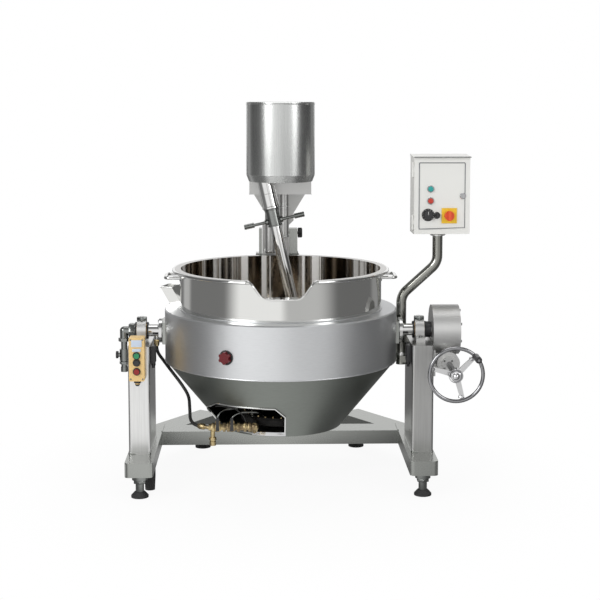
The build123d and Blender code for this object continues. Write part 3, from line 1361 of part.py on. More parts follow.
def station_box():
    """Push-button box on the left column's front, with its cable gland below."""
    half = STATION_WIDTH / 2
    top = STATION_BOTTOM + STATION_HEIGHT
    case = block((STATION_X - half, STATION_X + half), (STATION_FRONT, STATION_BACK), (STATION_BOTTOM, top))
    case = fillet(case.edges().filter_by(Axis.Y), 6.0)
    joint = STATION_FRONT + STATION_JOINT
    groove = STATION_GROOVE
    case -= block(
        (STATION_X - half - 1, STATION_X + half + 1),
        (joint, joint + groove),
        (STATION_BOTTOM - 1, top + 1),
    )
    case += block(
        (STATION_X - half + groove, STATION_X + half - groove),
        (joint - groove, joint + 2 * groove),
        (STATION_BOTTOM + groove, top - groove),
    )
    for z in BUTTON_HEIGHTS:
        hole = BUTTON_STEM + RUNNING
        case -= rod((STATION_X, STATION_FRONT - 1, z), (STATION_X, STATION_FRONT + 30, z), hole)
    gland_y = (STATION_FRONT + STATION_BACK) / 2
    case += rod((STATION_X, gland_y, STATION_BOTTOM + 2), (STATION_X, gland_y, STATION_BOTTOM - 16), 10.0)
    return case


def push_button(z):
    """Cap and stem; the stem leaves room behind it for the travel."""
    cap_back = STATION_FRONT - BUTTON_TRAVEL - SEAT
    cap = rod((STATION_X, cap_back, z), (STATION_X, cap_back - 6, z), BUTTON_RADIUS)
    stem_end = STATION_FRONT + 24
    return cap + rod((STATION_X, cap_back - 1, z), (STATION_X, stem_end, z), BUTTON_STEM)


def supply_pipe():
    """Rotary union on the left trunnion, elbow, drop pipe with its threaded end, and valve body."""
    face = LEFT_SHAFT_END - SEAT
    axis, bottom = (PIPE_X, 0, AXIS_Z), (PIPE_X, 0, PIPE_BOTTOM)
    valve = (PIPE_X, 0, VALVE_Z)
    pipe = rod((face, 0, AXIS_Z), (face - 26, 0, AXIS_Z), 26.0)
    pipe += rod((face - 20, 0, AXIS_Z), axis, FITTING_RADIUS)
    pipe += Pos(*axis) * Sphere(FITTING_RADIUS)
    pipe += rod(axis, (PIPE_X, 0, AXIS_Z - 34), FITTING_RADIUS)
    pipe += rod(axis, bottom, PIPE_RADIUS)
    pipe += rod(bottom, (PIPE_X, 0, PIPE_BOTTOM + PIPE_END_LENGTH), PIPE_END_RADIUS)
    pipe += rod((PIPE_X, 0, VALVE_Z - 24), (PIPE_X, 0, VALVE_Z + 24), 19.0)
    pipe += rod(valve, (PIPE_X - 24, 0, VALVE_Z), 9.0)
    pipe -= rod(axis, (PIPE_X, 0, PIPE_BOTTOM - EDGE_CUT), PIPE_BORE)
    pipe -= rod((face + EDGE_CUT, 0, AXIS_Z), axis, SHAFT_BORE)
    pipe -= rod((PIPE_X - 12, 0, VALVE_Z), (PIPE_X - 25, 0, VALVE_Z), 3.0 + RUNNING)
    low = PIPE_BOTTOM + PIPE_END_LENGTH + 8
    clip = block((PIPE_X, -COLUMN_OUTER), (-12, 12), (low, low + 14))
    hole = rod((PIPE_X, 0, low - 5), (PIPE_X, 0, low + 20), PIPE_RADIUS - 1)
    return pipe + (clip - hole)


def valve_knob():
    stem = rod((PIPE_X - 13, 0, VALVE_Z), (PIPE_X - 28, 0, VALVE_Z), 3.0)
    return stem + rod((PIPE_X - 25, 0, VALVE_Z), (PIPE_X - 34, 0, VALVE_Z), 15.0)


def flame_plane():
    """Plane that touches the band at the flame regulator, facing outwards."""
    out = Vector(FLAME_KNOB_X, -math.sqrt(JACKET_RADIUS ** 2 - FLAME_KNOB_X ** 2), 0).normalized()
    return Plane(origin=out * JACKET_RADIUS + Vector(0, 0, FLAME_KNOB_Z), x_dir=(0, 0, 1), z_dir=out)


def flame_knob():
    """Lobed knob of the flame regulator on the jacket's front, with its stem."""
    body = Circle(19.0)
    for lobe in range(6):
        body += Rot(0, 0, lobe * 60) * (Pos(18, 0) * Circle(6.5))
    knob_body = Pos(0, 0, SEAT) * extrude(body, amount=20)
    stem = Pos(0, 0, -8) * Cylinder(FLAME_STEM_RADIUS, 20)
    return flame_plane() * (knob_body + stem)


NODES = {
    "right_side_frame": right_side_frame,
    "left_side_frame": lambda: mirrored(right_side_frame()),
    "cross_beam": cross_beam,
    "right_column": right_column,
    "left_column": lambda: mirrored(right_column()),
    "foot_pads": foot_pads,
    "foot_screws": foot_screws,
    "rubber_buffer": rubber_buffer,
    "right_bearing_block": right_bearing_block,
    "left_bearing_block": lambda: mirrored(right_bearing_block()),
    "bearing_bushes": bearing_bushes,
    "gear_case": gear_case,
    "gear_case_cover": gear_case_cover,
    "station_box": station_box,
    "supply_pipe": supply_pipe,
    "cabinet_post": cabinet_post,
    "cabinet_shell": cabinet_shell,
    "control_gear": control_gear,
    "bowl": bowl,
    "jacket_band": jacket_band,
    "jacket_cone": jacket_cone,
    "ring_burner": ring_burner,
    "burner_manifold": burner_manifold,
    "gas_hose": gas_hose,
    "flue_box": flue_box,
    "rear_yoke": rear_yoke,
    "left_trunnion": left_trunnion,
    "right_trunnion": right_trunnion,
    "worm_wheel": worm_wheel,
    "grab_handles": grab_handles,
    "hinge_bracket": hinge_bracket,
    "hinge_pin": hinge_pin,
    "flame_knob": flame_knob,
    "main_cock_lever": lambda: cock_lever(COCK_PLACES[0]),
    "pilot_cock_lever": lambda: cock_lever(COCK_PLACES[1]),
    "worm": worm,
    "handwheel": handwheel,
    "crank_handle": crank_handle,
    "head_lock_knob": head_lock_knob,
    "head_frame": head_frame,
    "canister": canister,
    "canister_lid": canister_lid,
    "drive_motor": drive_motor,
    "sun_gear": sun_gear,
    "carrier": carrier,
    "agitator_shaft": agitator_shaft,
    "planet_gear": planet_gear,
    "agitator_frame": agitator_frame,
    "scrapers": scrapers,
    "tee_handle": tee_handle,
    "cabinet_door": cabinet_door,
    "signal_lamps": signal_lamps,
    "speed_knob": lambda: knob(SPEED_KNOB, SPEED_KNOB_RADIUS, 18.0),
    "selector_knob": lambda: knob(SELECTOR, SELECTOR_RADIUS, 10.0, bar=4.0),
    "main_switch": lambda: knob(MAIN_SWITCH, SWITCH_RADIUS, 12.0, seat=PLATE_FRONT, bar=6.0),
    "door_lock": door_lock,
    "start_button": lambda: push_button(BUTTON_HEIGHTS[0]),
    "jog_button": lambda: push_button(BUTTON_HEIGHTS[1]),
    "stop_button": lambda: push_button(BUTTON_HEIGHTS[2]),
    "valve_knob": valve_knob,
}

if __name__ == "__main__":
    for name, make in NODES.items():
        export_step(make(), f"parts/{name}.step")
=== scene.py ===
# %% [markdown]
# # A tilting jacketed cooking kettle with a mixer head
# The moving skeleton of this machine is already made: every rigid part has its true shape, place
# and joint. This lesson dresses it. We fit a camera, light a small studio, write one finish for
# each kind of metal, paint and plastic, and then model the small things that a fitter or a welder
# adds: screws, weld beads, nuts, bezels, scales and clips.

# %% Load the frame
import math
import bmesh
import bpy
from mathutils import Matrix, Vector


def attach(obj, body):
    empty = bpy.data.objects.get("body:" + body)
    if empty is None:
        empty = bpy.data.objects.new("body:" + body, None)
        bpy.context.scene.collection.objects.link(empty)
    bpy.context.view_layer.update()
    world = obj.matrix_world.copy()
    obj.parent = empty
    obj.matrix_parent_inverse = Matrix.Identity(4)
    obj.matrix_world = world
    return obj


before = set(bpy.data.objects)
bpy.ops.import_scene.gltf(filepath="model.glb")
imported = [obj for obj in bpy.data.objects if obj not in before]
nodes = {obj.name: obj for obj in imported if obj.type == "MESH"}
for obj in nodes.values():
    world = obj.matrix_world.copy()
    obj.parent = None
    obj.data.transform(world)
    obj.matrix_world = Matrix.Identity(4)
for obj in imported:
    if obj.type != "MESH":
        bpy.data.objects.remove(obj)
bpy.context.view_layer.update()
scene = bpy.context.scene

# %% [markdown]
# ## The camera
# A machine of this size is best seen from about five and a half metres, through a short telephoto
# lens. The camera looks down a little, and the frame is shifted downwards on the lens, so that
# the camera tilts less and the columns stay nearly upright, as an architect's camera does.

# %% Camera
FOCAL_LENGTH = 81.48
SENSOR = 36.0
CAMERA_PLACE = Vector((-0.0643, -5.544, 1.6144))
CAMERA_PITCH = math.radians(5.723)
CAMERA_YAW = math.radians(1.484)
LENS_SHIFT = -0.12

camera = bpy.data.objects.new("studio_camera", bpy.data.cameras.new("studio_camera"))
scene.collection.objects.link(camera)
camera.data.lens = FOCAL_LENGTH
camera.data.sensor_width = SENSOR
camera.data.shift_y = LENS_SHIFT
camera.location = CAMERA_PLACE
camera.rotation_euler = (math.pi / 2 - CAMERA_PITCH, 0, -CAMERA_YAW)
scene.camera = camera
scene.view_settings.view_transform = "Standard"
print("camera", round(CAMERA_PLACE.length, 2), "m from the kettle's foot")

# %% [markdown]
# ## A small kit for writing finishes
# A finish is a graph of shader nodes. Wiring it by hand is slow to read, so one class lets values
# be added and multiplied as in ordinary arithmetic, and a second class holds a material and adds
# any other node with a single method.

# %% Shader arithmetic
class Value:
    """A socket that can be used in arithmetic. Each operator adds one Math node."""

    def __init__(self, tree, socket):
        self.tree = tree
        self.socket = socket

    def maths(self, operation, *terms):
        made = self.tree.nodes.new("ShaderNodeMath")
        made.operation = operation
        for slot, term in zip(made.inputs, terms):
            if isinstance(term, Value):
                self.tree.links.new(term.socket, slot)
            else:
                slot.default_value = term
        return Value(self.tree, made.outputs[0])

    def __add__(self, other):
        return self.maths("ADD", self, other)

    def __radd__(self, other):
        return self.maths("ADD", other, self)

    def __sub__(self, other):
        return self.maths("SUBTRACT", self, other)

    def __rsub__(self, other):
        return self.maths("SUBTRACT", other, self)

    def __mul__(self, other):
        return self.maths("MULTIPLY", self, other)

    def __rmul__(self, other):
        return self.maths("MULTIPLY", other, self)

    def __pow__(self, power):
        return self.maths("POWER", self, power)

    def __abs__(self):
        return self.maths("ABSOLUTE", self)

    def larger(self, other):
        return self.maths("MAXIMUM", self, other)

    def smaller(self, other):
        return self.maths("MINIMUM", self, other)

    def band(self, low, high):
        """0 below low, 1 above high, with a soft step between."""
        made = self.tree.nodes.new("ShaderNodeMapRange")
        made.interpolation_type = "SMOOTHSTEP"
        self.tree.links.new(self.socket, made.inputs["Value"])
        made.inputs["From Min"].default_value = low
        made.inputs["From Max"].default_value = high
        return Value(self.tree, made.outputs["Result"])


print("values can be added and multiplied")

# %% [markdown]
# The second class is one material: its shader and the nodes that vary it. It adds any node by its
# type, settings and sockets, and has a short method for each thing that the finishes below need
# again and again: the place on the machine, a noise, a mix of two colours and a relief.

# %% Finish
NOISE_ROUGHNESS = 0.55


class Finish:
    """One material: a Principled shader and the nodes that vary it."""

    def __init__(self, name, colour, metallic=0.0, roughness=0.5):
        self.material = bpy.data.materials.new(name)
        self.material.use_nodes = True
        self.tree = self.material.node_tree
        self.shader = self.tree.nodes["Principled BSDF"]
        self.shader.inputs["Base Color"].default_value = tuple(colour) + (1.0,)
        self.shader.inputs["Metallic"].default_value = metallic
        self.shader.inputs["Roughness"].default_value = roughness

    def node(self, kind, settings=None, result=0, **sockets):
        """Add any node. Its settings are set first, then its sockets, by name or as _0, _1."""
        made = self.tree.nodes.new(kind)
        for name, value in (settings or {}).items():
            setattr(made, name, value)
        for name, value in sockets.items():
            slot = self.slot(made, name)
            if isinstance(value, Value):
                self.tree.links.new(value.socket, slot)
            else:
                slot.default_value = value
        return Value(self.tree, made.outputs[result])

    @staticmethod
    def slot(made, name):
        if name[1:].isdigit():
            return made.inputs[int(name[1:])]
        return made.inputs[name.replace("_", " ")]

    def feed(self, **sockets):
        """Link values to the shader's own sockets."""
        for name, value in sockets.items():
            self.tree.links.new(value.socket, self.shader.inputs[name.replace("_", " ")])

    def place(self):
        """Where a point lies on the machine, in metres: Texture Coordinate's Object output."""
        return self.node("ShaderNodeTexCoord", result=3)

    def stretched(self, scale):
        """The same place with its axes scaled, which draws a noise out into lines."""
        return self.node("ShaderNodeMapping", Vector=self.place(), Scale=scale)

    def noise(self, vector, size, detail):
        return self.node(
            "ShaderNodeTexNoise",
            Vector=vector, Scale=size, Detail=detail, Roughness=NOISE_ROUGHNESS,
        )

    def axis(self, which):
        """One coordinate of the place: 0 across, 1 in depth, 2 up."""
        parts = self.node("ShaderNodeSeparateXYZ", Vector=self.place())
        return Value(self.tree, parts.socket.node.outputs[which])

    def mixed(self, mask, first, second):
        """A colour between two, by a mask from 0 to 1."""
        made = self.tree.nodes.new("ShaderNodeMix")
        made.data_type = "RGBA"
        self.tree.links.new(mask.socket, made.inputs["Factor"])
        colour_slots = [slot for slot in made.inputs if slot.type == "RGBA"]
        for slot, colour in zip(colour_slots, (first, second)):
            if isinstance(colour, Value):
                self.tree.links.new(colour.socket, slot)
            else:
                slot.default_value = tuple(colour) + (1.0,)
        output = [slot for slot in made.outputs if slot.type == "RGBA"][0]
        return Value(self.tree, output)

    def bump(self, height, depth, strength):
        relief = self.node(
            "ShaderNodeBump", Height=height, Distance=depth, Strength=strength,
        )
        self.feed(Normal=relief)


def shade(colour, factor):
    """The same colour, darker below a factor of 1 and lighter above."""
    return tuple(channel * factor for channel in colour)


print("shader kit ready")

# %% [markdown]
# ## The studio
# Steel shows its surroundings more than itself, so the room is painted before the steel. One way
# is to build walls round the machine; a cheaper way, used here, is to let the world's strength
# depend on the direction that a ray travels. In front the room is bright from wall to wall, and
# behind the machine it is dark but for a dim stripe on either side: that gives round steel its
# bright faces and dark edges. A pale backdrop straight behind brightens level tops seen from a
# low angle, and the ceiling is dim. These patterns are met by reflections only. Surfaces are lit
# by an even grey, and the camera itself sees plain white.

# %% Room
BACK_LEVEL = 0.07
FRONT_LEVEL = 0.98
WALL_LEVEL = 1.0
STRIPE_LEVEL = 0.30
CEILING_LEVEL = 0.24
BACKDROP_LEVEL = 0.95
AMBIENT = 0.52


def room_level(across, depth):
    """How bright the room looks towards a level direction; depth is -1 straight in front."""
    wall = abs(across).band(0.30, 0.48) * (1.0 - depth.band(-0.62, -0.22))
    front = 1.0 - depth.band(-0.80, -0.40)
    stripe = depth.band(0.45, 0.60) * (1.0 - depth.band(0.72, 0.84)) * STRIPE_LEVEL
    level = BACK_LEVEL + front * (FRONT_LEVEL - BACK_LEVEL)
    return level + wall * (WALL_LEVEL - FRONT_LEVEL) + stripe


def light_path(tree):
    """Three masks: what the camera sees itself, in a mirror, and through glass."""
    path = tree.nodes.new("ShaderNodeLightPath")
    kinds = ("Camera", "Glossy", "Transmission")
    return [Value(tree, path.outputs[f"Is {kind} Ray"]) for kind in kinds]


def studio_room():
    world = bpy.data.worlds.new("studio_room")
    scene.world = world
    world.use_nodes = True
    tree = world.node_tree
    tree.nodes.clear()
    direction = tree.nodes.new("ShaderNodeTexCoord")
    parts = tree.nodes.new("ShaderNodeSeparateXYZ")
    tree.links.new(direction.outputs["Generated"], parts.inputs[0])
    across, depth, height = (Value(tree, parts.outputs[name]) for name in "XYZ")
    ceiling = height.band(0.15, 0.50) * CEILING_LEVEL
    backdrop = depth.band(0.80, 0.92) * BACKDROP_LEVEL
    level = room_level(across, depth) * (1.0 - height.band(0.35, 0.80)) + backdrop
    glow = level.larger(ceiling)
    seen, mirror, clear = light_path(tree)
    strength = seen + (1.0 - seen) * (mirror * glow + clear + (1.0 - mirror) * AMBIENT)
    strength = strength.smaller(1.0)
    background = tree.nodes.new("ShaderNodeBackground")
    background.inputs["Color"].default_value = (1.0, 1.0, 1.0, 1.0)
    tree.links.new(strength.socket, background.inputs["Strength"])
    output = tree.nodes.new("ShaderNodeOutputWorld")
    tree.links.new(background.outputs[0], output.inputs["Surface"])


studio_room()
print("room lit at", AMBIENT)

# %% [markdown]
# Three soft boxes give the light a direction. The strongest stands high on the left in front, a
# weaker one fills from the right, and one overhead puts a soft shadow under the machine. A large
# lamp casts a softer edge than a small one, so all three are metres across.

# %% Soft boxes
def soft_box(name, place, aim, size, power):
    lamp = bpy.data.lights.new(name, "AREA")
    lamp.shape = "RECTANGLE"
    lamp.size, lamp.size_y = size
    lamp.energy = power
    obj = bpy.data.objects.new(name, lamp)
    obj.location = place
    obj.rotation_euler = (Vector(aim) - Vector(place)).to_track_quat("-Z", "Y").to_euler()
    scene.collection.objects.link(obj)


soft_box("left_soft_box", (-3.4, -3.6, 3.0), (0, 0, 0.75), (2.2, 2.8), 110)
soft_box("right_soft_box", (3.6, -3.2, 2.6), (0, 0, 0.7), (1.4, 2.6), 40)
soft_box("top_soft_box", (0.2, 0.3, 4.2), (0, 0, 0.6), (3.0, 2.4), 40)
print("three soft boxes")

# %% [markdown]
# The floor is one large sheet of pale paper, which catches the machine's shadow. Metal seen from
# above mirrors it, so to a reflection the floor glows with the same pattern as the room, brighter
# on the left. Near the feet the glow gives way a little to the paper, so that the shadow shows.

# %% Floor
FLOOR_REACH = 30
PAPER = (0.93, 0.93, 0.93)


def floor_sheet():
    mesh = bmesh.new()
    bmesh.ops.create_grid(mesh, x_segments=1, y_segments=1, size=FLOOR_REACH)
    data = bpy.data.meshes.new("studio_floor")
    mesh.to_mesh(data)
    mesh.free()
    floor = bpy.data.objects.new("studio_floor", data)
    scene.collection.objects.link(floor)
    return floor


def white_paper():
    paper = Finish("white_paper", PAPER, roughness=0.9)
    tree = paper.tree
    place = paper.place()
    reach = paper.node("ShaderNodeVectorMath", {"operation": "LENGTH"}, result=1, Vector=place)
    way = paper.node("ShaderNodeVectorMath", {"operation": "NORMALIZE"}, Vector=place)
    parts = paper.node("ShaderNodeSeparateXYZ", Vector=way)
    across, depth = (Value(tree, parts.socket.node.outputs[k]) for k in (0, 1))
    left_to_right = 1.0 - 0.55 * paper.axis(0).band(-0.5, 0.8)
    mirrored = 0.13 + room_level(across, depth) * left_to_right
    glow = tree.nodes.new("ShaderNodeEmission")
    seen, mirror, clear = light_path(tree)
    amount = (0.93 + 0.07 * reach.band(0.7, 1.4)) * seen.larger(mirror.larger(clear))
    level = seen + (1.0 - seen) * (clear + (1.0 - clear) * mirrored)
    tree.links.new(level.smaller(1.0).socket, glow.inputs["Color"])
    mix = tree.nodes.new("ShaderNodeMixShader")
    tree.links.new(amount.socket, mix.inputs[0])
    tree.links.new(paper.shader.outputs[0], mix.inputs[1])
    tree.links.new(glow.outputs[0], mix.inputs[2])
    output = [n for n in tree.nodes if n.type == "OUTPUT_MATERIAL"][0]
    tree.links.new(mix.outputs[0], output.inputs["Surface"])
    return paper.material


floor = floor_sheet()
floor.data.materials.append(white_paper())
print("floor laid", 2 * FLOOR_REACH, "m across")

# %% [markdown]
# ## Steel in its many finishes
# Nearly everything here is stainless steel, and what tells one part from the next is mostly how
# it was ground; the two columns and the jacket's cone also differ in colour by painted light and
# shade.
# A grinding belt leaves fine parallel lines, so the noise that varies roughness and relief is
# stretched along the belt's direction. Polished steel keeps only faint wide stripes.
# Blasted steel has a fine even grain. A scanned picture of brushed steel would do it as well, but
# noise on Object coordinates has no seams, keeps its scale on every part and needs no unwrapping.

# %% Ground steel
def ground_steel(name, colour, roughness, grain, spread=0.08, tone=0.10, relief=0.00003):
    """Stainless steel with grinding lines. grain is the texture's scale along X, Y and Z."""
    steel = Finish(name, colour, metallic=1.0, roughness=roughness)
    lines = steel.noise(steel.stretched(grain), 1.0, detail=4.0)
    clouds = steel.noise(steel.place(), 3.2, detail=2.0)
    steel.feed(Base_Color=steel.mixed(
        (lines * 0.55 + clouds * 0.45).band(0.32, 0.68),
        shade(colour, 1.0 - tone), shade(colour, 1.0 + tone * 0.6),
    ))
    steel.feed(Roughness=roughness + (lines - 0.5) * spread + (clouds - 0.5) * spread)
    steel.bump(lines, relief, 0.6)
    return steel.material


UPRIGHT = (260.0, 260.0, 5.0)
AROUND = (40.0, 40.0, 300.0)
EVEN = (420.0, 420.0, 420.0)
print("grinding lines: upright, around, even")

# %% Steels
satin_frame = ground_steel("satin_frame", (0.38, 0.39, 0.37), 0.26, EVEN, tone=0.06)
arm_steel = ground_steel("arm_steel", (0.56, 0.56, 0.55), 0.34, EVEN, tone=0.06)
# The two columns are one steel: the left one is coloured lighter as painted light, the right one
# darker as painted shade.
shaded_right_column_steel = ground_steel("shaded_right_column_steel", (0.50, 0.50, 0.49), 0.30, UPRIGHT)
lit_left_column_steel = ground_steel("lit_left_column_steel", (0.76, 0.76, 0.75), 0.30, UPRIGHT)
dark_tube = ground_steel("dark_tube", (0.36, 0.36, 0.33), 0.14, EVEN, spread=0.05)
brushed_canister = ground_steel("brushed_canister", (0.60, 0.61, 0.60), 0.27, UPRIGHT, tone=0.07)
bright_band = ground_steel("bright_band", (0.68, 0.69, 0.70), 0.40, AROUND, tone=0.04)
# The cone is the jacket's steel, coloured far darker than the band, in part as painted shade on
# its downward face.
shaded_cone_steel = ground_steel("shaded_cone_steel", (0.235, 0.25, 0.23), 0.42, AROUND, tone=0.07)
polished_shaft = ground_steel("polished_shaft", (0.74, 0.74, 0.73), 0.08, EVEN, spread=0.03)
turned_steel = ground_steel("turned_steel", (0.27, 0.28, 0.27), 0.20, AROUND)
cast_block = ground_steel("cast_block", (0.66, 0.66, 0.65), 0.45, EVEN, tone=0.05)
dark_gear_steel = ground_steel("dark_gear_steel", (0.20, 0.20, 0.205), 0.34, EVEN)
gear_bronze = ground_steel("gear_bronze", (0.55, 0.37, 0.17), 0.32, EVEN)
chrome_plate = ground_steel(
    "chrome_plate", (0.72, 0.72, 0.73), 0.05, EVEN, spread=0.03, tone=0.03, relief=0.00001,
)
print("metals ready")

# %% [markdown]
# The bowl is polished like a mirror inside and out, over faint rings. On its upright wall inside,
# upright streaks, brighter and browner by turns, are painted reflections, and the whitest of them
# are painted highlights, made less metallic and rougher. Streaks that run straight up need a
# noise that knows only the direction round the axis, so the place on the bowl is flattened and
# brought to length one first. In the dish that noise would draw a star, so two masks, one by the
# wall's radius and one by height, keep it on the upright wall. Outside, the flange's top above
# FLANGE_TOP is coloured darker than the wall below it.

# %% Bowl polish
BOWL_INSIDE = (0.4112, 0.4122)
WALL_HEIGHT = (0.60, 0.74)
FLANGE_TOP = (0.8938, 0.8946)


def mirror_bowl():
    steel = Finish("mirror_bowl", (0.70, 0.68, 0.63), metallic=1.0, roughness=0.08)
    rings = steel.noise(steel.stretched((3.0, 3.0, 190.0)), 1.0, detail=3.0)
    level = steel.node(
        "ShaderNodeVectorMath", {"operation": "MULTIPLY"},
        _0=steel.place(), _1=(1.0, 1.0, 0.0),
    )
    around = steel.node("ShaderNodeVectorMath", {"operation": "NORMALIZE"}, Vector=level)
    broad = steel.noise(around, 4.2, detail=1.0)
    narrow = steel.noise(around, 17.0, detail=2.0)
    # painted reflections: streaks round the axis, dark brown and near white by turns
    reflection_streaks = (broad * 0.65 + narrow * 0.35).band(0.44, 0.57)
    reach = steel.node("ShaderNodeVectorMath", {"operation": "LENGTH"}, result=1, _0=level)
    inside = 1.0 - reach.band(*BOWL_INSIDE)
    upright = steel.axis(2).band(*WALL_HEIGHT)
    # painted highlights: the whitest streaks on the upright wall inside
    white = reflection_streaks.band(0.55, 0.95) * inside * upright
    steel.feed(Roughness=0.05 + rings * 0.07 + white * 0.25)
    steel.feed(Metallic=1.0 - white * 0.55)
    wall = steel.mixed(reflection_streaks, (0.24, 0.19, 0.14), (0.93, 0.92, 0.90))
    # the dish stays plain; the upright wall carries the painted reflections
    painted_reflections = steel.mixed(upright, (0.66, 0.64, 0.60), wall)
    flange = steel.axis(2).band(*FLANGE_TOP)
    outside = steel.mixed(flange, (0.76, 0.76, 0.74), (0.30, 0.29, 0.27))
    steel.feed(Base_Color=steel.mixed(inside, outside, painted_reflections))
    steel.bump(rings, 0.00001, 0.4)
    return steel.material


mirror_bowl_steel = mirror_bowl()
print("bowl polished up to", FLANGE_TOP[1], "m")

# %% [markdown]
# The gas fittings are cast brass that has lived beside a burner: yellow where a spanner has
# rubbed it, and brown in stains elsewhere. Two noises of different size are added, a small one
# for the stain and a large one for the soot, because one noise alone looks like printed spots.

# %% Brass
def stained_brass():
    brass = Finish("stained_brass", (0.52, 0.40, 0.20), metallic=1.0, roughness=0.34)
    stain = brass.noise(brass.place(), 34.0, detail=4.0)
    soot = brass.noise(brass.place(), 11.0, detail=2.0)
    brass.feed(Base_Color=brass.mixed(
        (stain * 0.6 + soot * 0.4).band(0.40, 0.62), (0.60, 0.48, 0.26), (0.20, 0.15, 0.09),
    ))
    brass.feed(Roughness=0.25 + stain * 0.25)
    brass.bump(stain, 0.0002, 0.4)
    return brass.material


brass_fittings = stained_brass()
print("brass stained")

# %% [markdown]
# ## Paint, plastic and rubber
# Powder coat has a faint orange peel. Moulded plastic has a finer grain and collects scuffs, and
# rubber is dull, with dust in its hollows. One function serves them all, since only the numbers
# differ. Scuffs darken a pale coating and lighten a black one, so wear may be below nought.

# %% Coatings
def coated(name, colour, roughness, peel=900.0, relief=0.00004, wear=0.10):
    paint = Finish(name, colour, roughness=roughness)
    grain = paint.noise(paint.place(), peel, detail=2.0)
    scuffs = paint.noise(paint.place(), 14.0, detail=5.0)
    paint.feed(Base_Color=paint.mixed(
        scuffs.band(0.42, 0.75), colour, shade(colour, 1.0 - wear),
    ))
    paint.feed(Roughness=roughness + (scuffs - 0.5) * SCUFF_SPREAD)
    paint.bump(grain, relief, 0.5)
    return paint.material


SCUFF_SPREAD = 0.18
CREAM = (0.80, 0.80, 0.77)

cabinet_paint = coated("cabinet_paint", CREAM, 0.42, peel=600.0, wear=0.05)
motor_enamel = coated("motor_enamel", (0.12, 0.16, 0.22), 0.4)
station_plastic = coated("station_plastic", (0.80, 0.56, 0.24), 0.48, wear=0.12)
black_plastic = coated("black_plastic", (0.020, 0.020, 0.021), 0.34, wear=-0.6)
red_plastic = coated("red_plastic", (0.30, 0.012, 0.012), 0.30, wear=0.2)
label_film = coated("label_film", (0.58, 0.66, 0.78), 0.35, wear=0.1)
burgundy_plastic = coated("burgundy_plastic", (0.13, 0.006, 0.010), 0.28, wear=0.2)
orange_plastic = coated("orange_plastic", (0.80, 0.10, 0.03), 0.32, wear=0.12)
green_plastic = coated("green_plastic", (0.02, 0.24, 0.10), 0.32, wear=0.15)
grey_switchgear = coated("grey_switchgear", (0.22, 0.23, 0.24), 0.5)
white_scraper = coated("white_scraper", CREAM, 0.5, wear=0.1)
hose_rubber = coated("hose_rubber", (0.016, 0.016, 0.016), 0.5, wear=-0.8)
pad_rubber = coated("pad_rubber", (0.03, 0.03, 0.03), 0.7, wear=-0.9)
black_iron = coated(
    "black_iron", (0.022, 0.021, 0.020), 0.62, peel=300.0, relief=0.0003, wear=-0.9,
)
print("coatings ready")

# %% [markdown]
# ## Dressing the parts that are already there
# The parts came without a finish. Each could be given its material by hand, one call after
# another, but a table that lists the parts under their finish is easier to read and to check.
# When the next step has dressed the last three, any part that was forgotten is printed.

# %% Finishes by part
FINISHES = {
    satin_frame: ["right_side_frame", "left_side_frame", "cross_beam", "rear_yoke",
                  "hinge_bracket"],
    arm_steel: ["head_frame"],
    lit_left_column_steel: ["left_column"],
    shaded_right_column_steel: ["right_column"],
    pad_rubber: ["foot_pads", "rubber_buffer"],
    turned_steel: ["foot_screws", "supply_pipe", "tee_handle"],
    cast_block: ["right_bearing_block", "left_bearing_block", "gear_case", "gear_case_cover"],
    gear_bronze: ["bearing_bushes", "worm_wheel"],
    station_plastic: ["station_box"],
    dark_tube: ["cabinet_post"],
    polished_shaft: ["left_trunnion", "right_trunnion", "grab_handles", "hinge_pin",
                     "carrier", "agitator_shaft", "agitator_frame"],
    cabinet_paint: ["cabinet_shell"],
    grey_switchgear: ["control_gear"],
    mirror_bowl_steel: ["bowl", "flue_box"],
    bright_band: ["jacket_band"],
    shaded_cone_steel: ["jacket_cone"],
    black_iron: ["ring_burner"],
    brass_fittings: ["burner_manifold"],
    hose_rubber: ["gas_hose"],
    red_plastic: ["stop_button"],
    burgundy_plastic: ["flame_knob"],
    black_plastic: ["main_cock_lever", "pilot_cock_lever", "crank_handle", "head_lock_knob",
                    "speed_knob", "selector_knob", "jog_button", "valve_knob"],
    dark_gear_steel: ["worm", "sun_gear", "planet_gear"],
    chrome_plate: ["door_lock"],
    brushed_canister: ["canister", "canister_lid"],
    motor_enamel: ["drive_motor"],
    white_scraper: ["scrapers"],
    green_plastic: ["start_button"],
    orange_plastic: ["main_switch"],
}


def finish_part(name, material):
    data = nodes[name].data
    data.materials.clear()
    data.materials.append(material)


for finish, names in FINISHES.items():
    for name in names:
        finish_part(name, finish)
print(sum(len(names) for names in FINISHES.values()), "parts dressed by the table")

# %% [markdown]
# Three parts show two finishes each: the lamps are teal above and red below, the handwheel's
# spokes are duller than its rim, and the door carries the main switch's yellow plate. Assigning
# materials face by face would work, but a mask on Object coordinates keeps to the edge on any
# mesh.

# %% Lamps
LENS_BORDER = (1.190, 1.196)


def two_lamps():
    """One part holds both lamps, so height tells the teal lens from the red one."""
    lens = Finish("lamp_lenses", (0.1, 0.5, 0.45), roughness=0.15)
    upper = lens.axis(2).band(*LENS_BORDER)
    lens.feed(Base_Color=lens.mixed(upper, (0.55, 0.05, 0.03), (0.03, 0.36, 0.34)))
    facets = lens.node("ShaderNodeTexVoronoi", Vector=lens.place(), Scale=420.0)
    lens.bump(facets, 0.0004, 0.6)
    return lens.material


finish_part("signal_lamps", two_lamps())
print("teal lens above", LENS_BORDER[1], "m")

# %% Handwheel plating
MM = 0.001
WHEEL_X, WHEEL_Z = 678.0, 512.0
HUB_EDGE = (0.026, 0.028)
RIM_EDGE = (0.092, 0.095)


